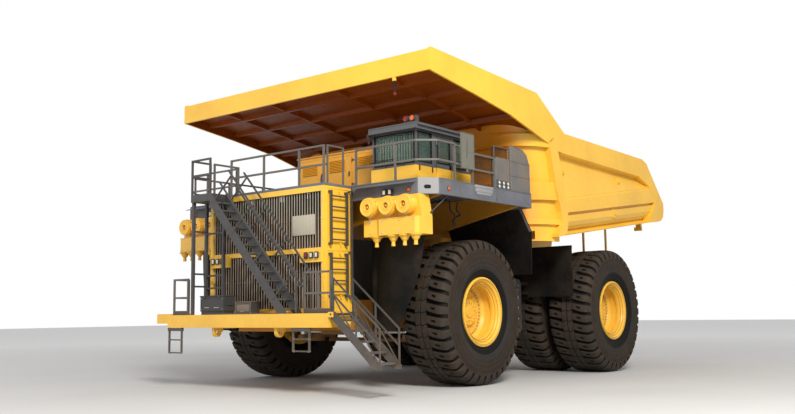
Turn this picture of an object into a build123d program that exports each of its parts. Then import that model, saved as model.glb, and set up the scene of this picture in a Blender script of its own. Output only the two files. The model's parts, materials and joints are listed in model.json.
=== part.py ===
"""Electric-drive mining dump truck, as an assembly of separate pieces, one STEP file for each.

Millimetres. X runs across the truck (+X is its left side, where the cab is), Y runs rearwards and
Z up. The origin is on the ground, under the middle of the truck's bounding box.
"""

from build123d import *
from math import atan2, cos, hypot, pi, sin
import os

os.makedirs("parts", exist_ok=True)

# ---- Driving dimensions -------------------------------------------------------------------------
# Clearances
moving_gap = 6  # least gap between pieces that move past each other
pin_gap = 0.7  # radial gap at pins, pivots and sliding rods
seat_gap = 0.3  # gap between pieces that rest against each other
cut = 10  # how far a cutting shape reaches past the face it cuts

# Wheels
wheelbase = 7000
front_axle_y = -3100
rear_axle_y = front_axle_y + wheelbase
tyre_radius = 2015
tyre_width = 1480
lug_count = 38  # an even number
lug_share = 0.64  # of each pitch
groove_depth = 95
front_track = 7150
rear_outer_track = 8210
dual_spacing = 1750
rim_radius = 960
hub_recess = 520

# Steering
kingpin_x = 2200
strut_r = 300
strut_rod_r = 170
arm_reach = 750
steer_arm_in = 100
steer_rod_r = 48
steer_rod_z = 1468
steer_rod_in = 800
steer_barrel_out = 1250
steer_barrel_r = 88
arm_z = 1330
arm_half = 60  # half the arms' thickness
tie_pin_r = 45
eye_r = 105
tie_rod_y = front_axle_y + arm_reach
steer_rod_y = front_axle_y - arm_reach
steer_barrel_y = steer_rod_y + 75

# Chassis frame
rail_inner_x = 500
rail_outer_x = 1150
rail_front_y = -7250
rail_low_z = 1560
rail_mid_z = 2040
engine_rail_z = 2400
rail_top_z = 3000
kick_front_y = -2300
kick_rear_y = -1100
rear_rail_z = 2480
rail_top_y = 4500
rail_rise = 0.089  # slope of the rails' top edge behind the kick-up
collar_x = 2500
collar_y = (front_axle_y - 480, front_axle_y + 480)
collar_z = (engine_rail_z, 3300)
engine_top_z = 4150

# Front bumper deck
deck_front_y = -8100
bumper_left_x = 3050
bumper_right_x = -3230
bumper_low_z = 1680
bumper_top_z = 2030
wing_out_x = 4130
wing_front_y = -7800
tow_eye_x = (-1310, 1150)
tow_eye_y = -7900
tow_eye_z = 1560
tow_eye_r = 60

# Radiator housing
grille_half_x = 2250
grille_front_y = -7370
grille_rear_y = -6330
grille_top_z = 5330
corner_post = 110
grille_windows = [(2160, 3600), (3720, 5190)]  # (low, high) heights of the two openings
bar_count = 44
bar_width = 24

# Access stairs
stair_foot = (1430, bumper_top_z)
stair_head = (-1460, 5240)
stair_y = (-8070, -7490)
stair_steps = 13
stringer_depth = 250
landing_x = 2290
landing_thick = 210
handrail_lift = 1040

# Boarding stair
board_hinge = (bumper_left_x + 90, bumper_top_z - 30)
board_pin_r = 30
board_foot = (4600, 700)
board_y = (-8050, -7300)
board_steps = 5

# Upper deck
deck_half_x = 4900
deck_y0 = -6350
deck_y1 = -1450
deck_corner = 400
deck_top_z = 5400
deck_plate = 60
fascia_h = 420
rail_h = 1000
tube_s = 50

# Cab
cab_x0 = 2550
cab_x1 = 4050
cab_y0 = -5780
cab_y1 = -3350
cab_sill_z = 5850
cab_eaves_z = 6790
cab_roof_z = 6960
cab_wall = 70
glass_thick = 20
door_y = (-4930, -4230)
door_top_z = 6730
door_hinge_z = (5600, 6500)

# Bed
bed_half_x = 4925
lip_y = -6310
pivot_y = 5300
pivot_z = 3000
pivot_r = 110
flange_z0 = 4123  # underside of the sides' bottom flange at flange_y0
flange_y0 = -750
flange_rise = 0.1334
side_depth = 545  # a side of the bed, from the floor's edge to its outermost face
floor_half_x = bed_half_x - side_depth
floor_lift = 260  # underside of the floor plate over the flange's underside
bed_plate = 110
bed_y = (420, 7980)

# Hoist cylinders
hoist_x = 1420
hoist_low = (1300, 1500)
hoist_top = (800, 4000)
hoist_r = 230
hoist_wall = 40
hoist_pin_r = 90


# ---- Shape helpers ------------------------------------------------------------------------------
def block(x0, x1, y0, y1, z0, z1):
    """A box between two corners."""
    size = (abs(x1 - x0), abs(y1 - y0), abs(z1 - z0))
    return Pos((x0 + x1) / 2, (y0 + y1) / 2, (z0 + z1) / 2) * Box(*size)


def plate_yz(points, x0, x1):
    """A side-view outline of (y, z) points, extruded across from x0 to x1."""
    face = make_face(Polyline(*[(x0, y, z) for y, z in points], close=True))
    return extrude(face, amount=x1 - x0, dir=(1, 0, 0))


def plate_xz(points, y0, y1):
    """A front-view outline of (x, z) points, extruded along from y0 to y1."""
    face = make_face(Polyline(*[(x, y0, z) for x, z in points], close=True))
    return extrude(face, amount=y1 - y0, dir=(0, 1, 0))


def plate_xy(points, z0, z1):
    """A plan-view outline of (x, y) points, extruded up from z0 to z1."""
    face = make_face(Polyline(*[(x, y, z0) for x, y in points], close=True))
    return extrude(face, amount=z1 - z0, dir=(0, 0, 1))


def bar(start, end, radius):
    """A round bar between two points."""
    a, b = Vector(*start), Vector(*end)
    axis = b - a
    stand = (Align.CENTER, Align.CENTER, Align.MIN)
    return Plane(origin=a, z_dir=axis) * Cylinder(radius, axis.length, align=stand)


def square_bar(start, end, size, depth=None):
    """A square or flat bar between two points, reaching half its size past each."""
    a, b = Vector(*start), Vector(*end)
    axis = (b - a).normalized()
    up = Vector(0, 1, 0) if abs(axis.Z) > 0.9 else Vector(0, 0, 1)
    reach = axis * (size / 2)
    length = (b - a).length + size
    stand = (Align.CENTER, Align.CENTER, Align.MIN)
    plane = Plane(origin=a - reach, z_dir=axis, x_dir=axis.cross(up))
    return plane * Box(size, depth or size, length, align=stand)


def tube_run(points, size=tube_s):
    """A square tube along a run of points."""
    return [square_bar(a, b, size) for a, b in zip(points, points[1:])]


def disc_x(x0, x1, y, z, radius):
    """A round solid whose axis runs across, from x0 to x1."""
    return bar((x0, y, z), (x1, y, z), radius)


def disc_y(y0, y1, x, z, radius):
    """A round solid whose axis runs along, from y0 to y1."""
    return bar((x, y0, z), (x, y1, z), radius)


def disc_z(z0, z1, x, y, radius):
    """A round solid whose axis stands up, from z0 to z1."""
    return bar((x, y, z0), (x, y, z1), radius)


def turned_x(profile, y, z):
    """A closed outline of (x, r) points turned about the axis along X through (y, z)."""
    face = make_face(Polyline(*[(x, y + r, z) for x, r in profile], close=True))
    return revolve(face, axis=Axis((0, y, z), (1, 0, 0)))


def fused(parts):
    """All the parts as one."""
    first, *rest = parts
    return first + rest if rest else first


def mirrored(shape):
    """The same shape on the truck's other side."""
    return mirror(shape, about=Plane.YZ)


def both_sides(shape):
    """The shape and its mirror image, as one shape."""
    return shape + mirrored(shape)


def save(name, *shapes):
    """Writes the solids of one node."""
    solids = [s for shape in shapes for s in shape.solids()]
    export_step(Compound(children=solids) if len(solids) > 1 else solids[0], f"parts/{name}.step")


def flange_z(y):
    """The underside of the bed's bottom flange at y."""
    return flange_z0 + flange_rise * (y - flange_y0)


def floor_under_z(y):
    """The underside of the bed's floor plate at y, and a little more to join it."""
    return flange_z(y) + floor_lift + cut


# ---- Wheels -------------------------------------------------------------------------------------
bead_r = rim_radius - 40
bead_share = 0.80  # of half the tyre's width
bead_half = bead_share * tyre_width / 2
shoulder_ring = (1.00, 1610)  # (share of half the width, radius)
lug_edge = 0.87  # where a lug ends, as a share of half the width
rib_edge = 0.24  # half the middle rib
lug_slant = 0.15  # how far a lug's outer end is turned from its inner one, as a share of the pitch
groove_low = 0.58  # where a groove is deepest
barrel_r = rim_radius - 165  # inside radius of a rim's barrel
hub_r = 330  # radius of the spindle behind a rim's hub face
bolt_ring_r = 690
hub_cap_r = 350
hub_cap_out = 110
boss_depth = 140  # from a hub's face to the inside of its boss
boss_cover = 40
spindle_nose_r = 60  # radius of the spindle's nose, on which the rim turns
hub_face_in = bead_half - hub_recess - boss_depth
nose_reach = 90  # how far a spindle's nose goes into the boss


def tyre():
    """A tyre of flat faces, standing on a lug's flat top, its middle over the origin.

    The bead has one side to every two lugs, and the grooves slant across the tread.
    """
    half = tyre_width / 2
    pitch = 2 * pi / lug_count
    swing = pitch * lug_share / 2
    faces = []

    def at(share, radius, angle):
        return Vector(share * half, radius * cos(angle), tyre_radius + radius * sin(angle))

    def on_lug(share, middle, turn):
        """A corner of a lug's flat top, turned from the lug's middle."""
        return at(share, tyre_radius / cos(turn), middle + turn)

    def face(*points):
        faces.append(Face(Wire.make_polygon(points, close=True)))

    bead_out = bead_r / cos(pitch)
    for k in range(lug_count):
        middle = k * pitch - pi / 2
        a, b, onward = middle - pitch / 2, middle + pitch / 2, middle + pitch
        top = []
        for side in (1, -1):
            share, radius = side * shoulder_ring[0], shoulder_ring[1]
            bead = side * bead_share
            if k % 2 == 0:
                face(at(bead, bead_out, a), at(share, radius, a), at(share, radius, b))
                face(at(bead, bead_out, a), at(share, radius, b), at(bead, bead_out, b + pitch))
            else:
                face(at(bead, bead_out, b), at(share, radius, a), at(share, radius, b))
            slant = side * lug_slant * pitch
            outer, inner = side * lug_edge, side * rib_edge
            ends = [on_lug(outer, middle, swing + slant), on_lug(inner, middle, swing)]
            starts = [on_lug(inner, middle, -swing), on_lug(outer, middle, slant - swing)]
            next_starts = [on_lug(inner, onward, -swing), on_lug(outer, onward, slant - swing)]
            face(at(share, radius, a), at(share, radius, b), ends[0], starts[1])
            low = at(side * groove_low, tyre_radius - groove_depth, b)
            outline = [at(share, radius, b), *ends, *next_starts]
            for u, v in zip(outline, outline[1:] + outline[:1]):
                face(u, v, low)
            top.append((ends, starts, next_starts))
        (ends, starts, next_starts), (far_ends, far_starts, far_next) = top
        face(*ends, *reversed(far_ends), *reversed(far_starts), *starts)
        face(ends[1], next_starts[0], far_next[0], far_ends[1])
        if k % 2 == 0:
            corners = [(bead_share, a), (bead_share, b + pitch), (-bead_share, b + pitch), (-bead_share, a)]
            face(*[at(x, bead_out, angle) for x, angle in corners])
    return Solid(Shell(faces))


def rim(x, y, out):
    """A rim with its hub face set in from the outside; out is +1 where it opens to the truck's left."""
    seat = bead_r - seat_gap
    face = bead_half - hub_recess
    profile = [  # (distance outwards from the tyre's middle, radius)
        (-bead_half, seat),
        (bead_half, seat),
        (bead_half + 30, rim_radius),
        (bead_half + 70, rim_radius),
        (bead_half + 75, rim_radius - 60),
        (bead_half + 10, rim_radius - 130),
        (bead_half - 60, barrel_r),
        (face + 110, barrel_r - 20),
        (face + 40, bolt_ring_r + 20),
        (face, bolt_ring_r),
        (face, hub_cap_r + 60),
        (face + hub_cap_out, hub_cap_r),
        (face + hub_cap_out, hub_cap_r / 2),
        (face + hub_cap_out + 40, hub_cap_r / 2 - 20),
        (face + hub_cap_out + 40, 0),
        (face - boss_cover, 0),
        (face - boss_cover, spindle_nose_r + pin_gap),
        (face - boss_depth, spindle_nose_r + pin_gap),
        (face - boss_depth, hub_r),
        (face - 60, hub_r + 60),
        (face - 60, bolt_ring_r),
        (face - 120, barrel_r),
        (-bead_half - 60, barrel_r),
        (-bead_half - 60, rim_radius),
        (-bead_half - 30, rim_radius),
    ]
    return turned_x([(x + out * dx, r) for dx, r in profile], y, tyre_radius)


def inner_rim(x, y, out):
    """The inner rim of a pair: a plain barrel that reaches to the outer rim's barrel."""
    seat = bead_r - seat_gap
    reach = dual_spacing - bead_half - 60
    profile = [
        (-bead_half - 70, rim_radius),
        (-bead_half - 30, rim_radius),
        (-bead_half, seat),
        (bead_half, seat),
        (bead_half + 30, rim_radius),
        (bead_half + 70, rim_radius),
        (bead_half + 70, seat - 30),
        (reach, seat - 30),
        (reach, barrel_r),
        (-bead_half - 70, barrel_r),
    ]
    return turned_x([(x + out * dx, r) for dx, r in profile], y, tyre_radius)


def make_wheels():
    plain = tyre()
    for side, name in ((1, "left"), (-1, "right")):
        front_x = side * front_track / 2
        outer_x = side * rear_outer_track / 2
        inner_x = outer_x - side * dual_spacing
        save(f"front_tyre_{name}", Pos(front_x, front_axle_y, 0) * plain)
        save(f"front_rim_{name}", rim(front_x, front_axle_y, side))
        save(f"rear_tyres_{name}", *[Pos(x, rear_axle_y, 0) * plain for x in (outer_x, inner_x)])
        save(f"rear_rims_{name}", rim(outer_x, rear_axle_y, side) + inner_rim(inner_x, rear_axle_y, side))


# ---- Chassis frame ------------------------------------------------------------------------------
def rail_top(y):
    """The height of the rails' top edge at y, behind the kick-up."""
    return rail_top_z + rail_rise * (y - kick_rear_y)


def make_chassis_frame():
    outline = [
        (rail_front_y, rail_low_z),
        (kick_front_y, rail_low_z),
        (kick_rear_y, rear_rail_z),
        (rail_top_y, rear_rail_z + 280),
        (pivot_y + 50, pivot_z - 260),
        (pivot_y + 260, pivot_z - 60),
        (pivot_y + 260, pivot_z + 120),
        (pivot_y + 100, pivot_z + 260),
        (rail_top_y, rail_top(rail_top_y)),
        (kick_rear_y, rail_top_z),
        (kick_front_y, engine_rail_z),
        (grille_rear_y + 60, engine_rail_z),
        (grille_rear_y + 60, rail_mid_z),
        (rail_front_y, rail_mid_z),
    ]
    rails = both_sides(plate_yz(outline, rail_inner_x, rail_outer_x))
    bore = disc_x(-rail_outer_x - cut, rail_outer_x + cut, pivot_y, pivot_z, pivot_r + pin_gap)
    cross_members = [  # (y0, y1, z0, z1)
        (rail_front_y, rail_front_y + 250, rail_low_z, rail_mid_z),
        (-4900, -4700, rail_low_z, 2000),
        (steer_barrel_y - 200, steer_barrel_y + 200, rail_low_z, 1900),
        (300, 600, 1780, 3100),
        (2050, 2250, 2700, 3200),
        (rail_top_y - 100, rail_top_y + 150, 2900, 3400),
    ]
    beams = [block(-rail_inner_x, rail_inner_x, *sizes) for sizes in cross_members]
    nose_web = both_sides(block(rail_inner_x, rail_inner_x + 60, 300, 600, 1780, 2700))
    collar = block(-collar_x, collar_x, *collar_y, *collar_z)
    arch = block(-rail_inner_x, rail_inner_x, collar_y[0] - cut, collar_y[1] + cut, collar_z[0] - cut, 2900)
    strut_top = collar_z[1] - 120
    bore_r = strut_rod_r + pin_gap
    strut_bore = both_sides(disc_z(collar_z[0] - cut, strut_top, kingpin_x, front_axle_y, bore_r))
    hoist_y, hoist_z = hoist_low
    hangers = both_sides(block(900, rail_outer_x, hoist_y - 160, hoist_y + 160, hoist_z - 180, 2700))
    pins = both_sides(disc_x(rail_outer_x - cut, hoist_x + 150, hoist_y, hoist_z, hoist_pin_r))
    frame = fused([rails - bore, *beams, nose_web]) + (collar - arch - strut_bore) + hangers + pins
    save("chassis_frame", frame)


# ---- Front axle and steering --------------------------------------------------------------------
def arm_outline(x0, y0, x1, y1):
    """A tapering arm in plan from the kingpin to its pin, rounded off beyond the pin."""
    out = 1 if y1 > y0 else -1
    return [
        (x0 - 160, y0),
        (x0 + 160, y0),
        (x1 + 110, y1 + out * 60),
        (x1 + 40, y1 + out * 120),
        (x1 - 40, y1 + out * 120),
        (x1 - 110, y1 + out * 60),
    ]


def knuckle():
    """The knuckle, spindle and arms on the truck's left."""
    x, y = kingpin_x, front_axle_y
    spindle_end = front_track / 2 + hub_face_in - moving_gap
    nose_end = spindle_end + moving_gap + nose_reach
    body = disc_z(arm_z - 160, collar_z[0] - moving_gap, x, y, strut_r)
    rod = disc_z(collar_z[0] - 100, collar_z[1] - 200, x, y, strut_rod_r)
    spindle = disc_x(x, spindle_end, y, tyre_radius, hub_r)
    nose = disc_x(spindle_end - cut, nose_end, y, tyre_radius, spindle_nose_r)
    brake = disc_x(x + 180, x + 560, y, tyre_radius, hub_r + 40)
    heights = (arm_z - arm_half, arm_z + arm_half)
    rear_arm = plate_xy(arm_outline(x, y, x, tie_rod_y), *heights)
    front_arm = plate_xy(arm_outline(x, y, x - steer_arm_in, steer_rod_y + 20), *heights)
    bore = disc_z(arm_z - arm_half - cut, arm_z + arm_half + cut, x, tie_rod_y, tie_pin_r + pin_gap)
    return fused([body, rod, spindle, nose, brake, rear_arm, front_arm]) - bore


def make_steering():
    left = knuckle()
    save("knuckle_left", left)
    save("knuckle_right", mirrored(left))
    eye_top = arm_z - arm_half - moving_gap
    eye_low = eye_top - 130
    rod_z = (eye_top + eye_low) / 2
    eye = disc_z(eye_low, eye_top, kingpin_x, tie_rod_y, eye_r)
    pin = disc_z(eye_low, arm_z + arm_half + 15, kingpin_x, tie_rod_y, tie_pin_r)
    link = bar((-kingpin_x, tie_rod_y, rod_z), (kingpin_x, tie_rod_y, rod_z), 62)
    save("tie_rod", both_sides(eye + pin) + link)
    y, z = steer_barrel_y, steer_rod_z
    eye_x = kingpin_x - steer_arm_in
    rod = disc_x(steer_rod_in, eye_x, y, z, steer_rod_r)
    rod_eye = disc_z(arm_z + arm_half + moving_gap, z + 62, eye_x, y, eye_r)
    save("steering_rods", both_sides(rod + rod_eye))
    barrel_in = rail_inner_x - 150
    barrel = disc_x(barrel_in, steer_barrel_out, y, z, steer_barrel_r)
    bore = disc_x(barrel_in + 40, steer_barrel_out + cut, y, z, steer_rod_r + pin_gap)
    lug = block(barrel_in, rail_inner_x + 100, y - 80, y + 80, z + 20, rail_low_z)
    save("steering_barrels", both_sides(barrel + lug - bore))


# ---- Rear axle ----------------------------------------------------------------------------------
def make_rear_axle():
    y, z = rear_axle_y, tyre_radius
    hub_end = rear_outer_track / 2 + hub_face_in - moving_gap
    nose_end = hub_end + moving_gap + nose_reach
    housing = disc_x(-1350, 1350, y, z, 640)
    motors = disc_x(-hub_end, hub_end, y, z, hub_r + 60) + disc_x(-2900, 2900, y, z, 560)
    noses = disc_x(-nose_end, nose_end, y, z, spindle_nose_r)
    nose = plate_xy([(-700, y - 400), (-260, 750), (260, 750), (700, y - 400)], z - 170, z + 190)
    ball = block(-260, 260, 600, 760, z - 170, z + 190)
    lugs = both_sides(block(1160, 1440, y + 400, y + 1000, z - 40, z + 90))
    leg = disc_z(z + 90, 2620, 1300, y + 850, 115) + disc_z(2620, 3180, 1300, y + 850, 150)
    head = block(rail_outer_x, 1450, y + 700, y + 1000, 3100, 3230)
    save("rear_axle_housing", fused([motors, noses, housing, nose, ball, lugs, both_sides(leg + head)]))


# ---- Engine, radiator and front end -------------------------------------------------------------
bar_front_y = grille_front_y + 40
bar_rear_y = grille_front_y + 110
lamp_panel = (1400, 2200, 3345, 3650)  # x0, x1, z0, z1 of the left panel, mirrored on the right
lamp_panel_y = grille_front_y - 45


def make_front_end():
    hx, y0, y1 = grille_half_x, grille_front_y, grille_rear_y
    hole_x = hx - corner_post
    shell = block(-hx, hx, y0, y1, rail_mid_z, grille_top_z)
    shell -= fused([block(-hole_x, hole_x, y0 - cut, y1 + cut, low, high) for low, high in grille_windows])
    panel_x0, panel_x1, panel_z0, panel_z1 = lamp_panel
    panels = both_sides(block(panel_x0, panel_x1, lamp_panel_y, bar_front_y - moving_gap, panel_z0, panel_z1))
    save("radiator_housing", shell + panels)
    pitch = 2 * hole_x / bar_count
    bars = []
    for low, high in grille_windows:
        for i in range(bar_count):
            x = -hole_x + (i + 0.5) * pitch
            bars.append(block(x - bar_width / 2, x + bar_width / 2, bar_front_y, bar_rear_y, low, high))
        span = (-hole_x, hole_x, bar_rear_y - 50, bar_rear_y)
        bars += [block(*span, z, z + 60) for z in (low, (low + high) / 2, high - 60)]
    save("grille_bars", fused(bars))
    save("radiator_core", *[block(-hole_x, hole_x, y0 + 260, y0 + 560, *window) for window in grille_windows])
    save("engine", block(-850, 850, y1 + 70, collar_y[0] - 120, engine_rail_z, engine_top_z))
    bumper = block(bumper_right_x, bumper_left_x, deck_front_y, rail_front_y, bumper_low_z, bumper_top_z)
    wing_z = (bumper_low_z + 110, bumper_top_z + 40)
    bumper += block(-wing_out_x, bumper_right_x, wing_front_y, rail_front_y, *wing_z)
    for x in tow_eye_x:
        hook = block(x - 50, x + 50, tow_eye_y - 130, tow_eye_y + 180, tow_eye_z, bumper_low_z + cut)
        hook += disc_x(x - 50, x + 50, tow_eye_y, tow_eye_z, 130)
        bumper += hook - disc_x(x - 50 - cut, x + 50 + cut, tow_eye_y, tow_eye_z, tow_eye_r)
    hinge_x, hinge_z = board_hinge
    for y in (board_y[0] - moving_gap - 40, board_y[1] + moving_gap):
        lug = block(bumper_left_x, hinge_x + 60, y, y + 40, hinge_z - 70, hinge_z + 60)
        bumper += lug - disc_y(y - 1, y + 41, hinge_x, hinge_z, board_pin_r + pin_gap)
    save("front_bumper", bumper)


# ---- Stairs and ladders -------------------------------------------------------------------------
def make_access_stairs():
    """The diagonal stair up the front, its landing and the tower that carries it."""
    x0, z0 = stair_foot
    x1, z1 = stair_head
    y0, y1 = stair_y
    slope = atan2(z1 - z0, x0 - x1)
    half = stringer_depth / 2
    foot, head = half / sin(slope), half / cos(slope)
    outline = [(x0 + foot, z0), (x1, z1 + head), (x1, z1 - head), (x0 - foot, z0)]
    pieces = [plate_xz(outline, y, y + 30) for y in (y0, y1 - 30)]
    for i in range(stair_steps):
        share = (i + 0.5) / stair_steps
        x, z = x0 + share * (x1 - x0), z0 + share * (z1 - z0)
        pieces.append(block(x - 150, x + 130, y0 + 20, y1 - 20, z - 15, z + 15))
    lift_x, lift_z = handrail_lift * sin(slope), handrail_lift * cos(slope)
    low, high = 0.10, 1.0  # where the sloping handrail starts and ends, as shares of the stair
    for y in (y0 + 15, y1 - 15):
        for rise in (1.0, 0.55):
            ends = []
            for share in (low, high):
                x, z = x0 + share * (x1 - x0), z0 + share * (z1 - z0)
                ends.append((x + rise * lift_x, y, z + rise * lift_z))
            if rise == 1.0:
                ends.insert(0, (ends[0][0], y, z0 + tube_s))
            pieces += tube_run(ends, 40)
        for share in (0.12, 0.40, 0.68, 0.96):
            x, z = x0 + share * (x1 - x0), z0 + share * (z1 - z0)
            pieces.append(square_bar((x, y, z), (x + lift_x, y, z + lift_z), 36))
    top, under = deck_top_z, deck_top_z - landing_thick
    landing_y = grille_front_y - seat_gap
    pieces.append(block(-landing_x, x1, y0, landing_y, under, top))
    near, far = x1 - 40, -landing_x + 40
    for x, y in ((far, y0 + 80), (far, y1 - 40), (near, y1 - 40)):
        pieces.append(block(x - 40, x + 40, y - 40, y + 40, bumper_top_z, under + cut))
    for z in (2750, 3100, 4300):
        pieces.append(block(far, near, y1 - 60, y1 - 20, z, z + 50))
        pieces.append(block(far - 20, far + 20, y0 + 80, y1 - 40, z + 50, z + 100))
    corners = [(-landing_x + 25, landing_y - 25), (-landing_x + 25, y0 + 25), (x1 - 25, y0 + 25)]
    for level in (0.55, 1.0):
        z = top + level * rail_h - tube_s / 2
        pieces += tube_run([(x, y, z) for x, y in corners])
    pieces += [block(x - 25, x + 25, y - 25, y + 25, top - cut, top + rail_h) for x, y in corners]
    save("access_stairs", fused(pieces))


def ladder_x(x0, x1, y, z0, z1, steps, thick=45):
    """A ladder in a plane facing forward, with its stiles upright."""
    stiles = [block(x, x + thick, y, y + thick, z0, z1) for x in (x0, x1 - thick)]
    step = (z1 - z0) / steps
    rungs = [block(x0, x1, y + 5, y + thick - 5, z0 + i * step, z0 + i * step + 35) for i in range(steps)]
    return fused(stiles + rungs)


def make_ladders():
    x, y0, y1 = grille_half_x, -7200, -6590
    side = []
    for low, high, rungs in ((2430, 3580, 4), (3780, 5200, 5)):
        side += [block(x + 70, x + 120, y - 25, y + 25, low, high) for y in (y0, y1)]
        for z in (low, high - 60):
            side += [block(x + seat_gap, x + 80, y - 25, y + 25, z, z + 60) for y in (y0, y1)]
        for i in range(rungs):
            z = low + (i + 0.5) * (high - low) / rungs
            side.append(block(x + 78, x + 112, y0, y1, z - 17, z + 17))
    grab_y = y1 + 150
    side += [block(x + 100, x + 140, grab_y - 20, grab_y + 20, 2400, 5250)]
    side += [block(x + seat_gap, x + 110, grab_y - 20, grab_y + 20, z, z + 40) for z in (2400, 3600, 5210)]
    hanging = [  # (x0, x1, foot height)
        (-3220, -2620, 960),
        (1790, 2400, 1080),
    ]
    hung = [ladder_x(x0, x1, deck_front_y + 30, foot, bumper_low_z - seat_gap, 2) for x0, x1, foot in hanging]
    save("ladders", fused(side), *hung)


def make_boarding_stair():
    """The stair at the left front, which swings up about a bar along its top edge."""
    hx, hz = board_hinge
    fx, fz = board_foot
    y0, y1 = board_y
    thick, brace = 35, 25
    outline = [
        (hx - 45, hz + 60),
        (hx - 45, hz - 80),
        (fx - 130, fz),
        (fx + 90, fz),
        (fx + 90, fz + 90),
        (hx + 90, hz + 60),
    ]
    posts = [(hx + 35, hz, 870), (fx + 35, fz + 50, 900)]  # (x, foot height, length)
    pieces = []
    for y in (y0, y1 - thick):
        pieces.append(plate_xz(outline, y, y + thick))
        middle = y + thick / 2
        for x, z, length in posts:
            pieces.append(square_bar((x, middle, z), (x, middle, z + length), thick))
        (xa, za, la), (xb, zb, lb) = posts
        for share in (0.55, 1.0):
            pieces.append(square_bar((xa, middle, za + share * la), (xb, middle, zb + share * lb), thick))
        xm, zm = (xa + xb) / 2, (za + zb) / 2
        pieces.append(square_bar((xm, middle, zm - 60), (xm, middle, zm + (la + lb) / 2), thick))
        pieces.append(square_bar((xm - 8, middle, zm + 20), (xa + 8, middle, za + 0.5 * la), brace))
        pieces.append(square_bar((xb - 8, middle, zb + 60), (xm + 8, middle, zm + 0.5 * la), brace))
    for i in range(board_steps):
        share = (i + 0.5) / board_steps
        x, z = hx + 20 + share * (fx - hx - 20), hz - 20 + share * (fz - hz + 20)
        pieces.append(block(x - 130, x + 110, y0, y1, z - 20, z + 20))
    pieces.append(disc_y(y0 - moving_gap - 40, y1 + moving_gap + 40, hx, hz, board_pin_r))
    save("boarding_stair", fused(pieces))


# ---- Decks and railings -------------------------------------------------------------------------
rail_y = deck_y0 + 60  # the front railing's line
rail_x = deck_half_x - 60  # the side railings' line
rail_end_y = -5190  # where the left front railing stops, ahead of the cab door
rail_level = (0.5, 1.0)  # heights of the two rails, as shares of the railing's height


def railing(line, posts, foot, height=rail_h):
    """Square-tube railing along a run of (x, y) points, with a top and a middle rail."""
    half = tube_s / 2
    pieces = []
    for level in rail_level:
        pieces += tube_run([(x, y, foot + level * height - half) for x, y in line])
    pieces += [block(x - half, x + half, y - half, y + half, foot, foot + height) for x, y in posts]
    return fused(pieces)


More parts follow.
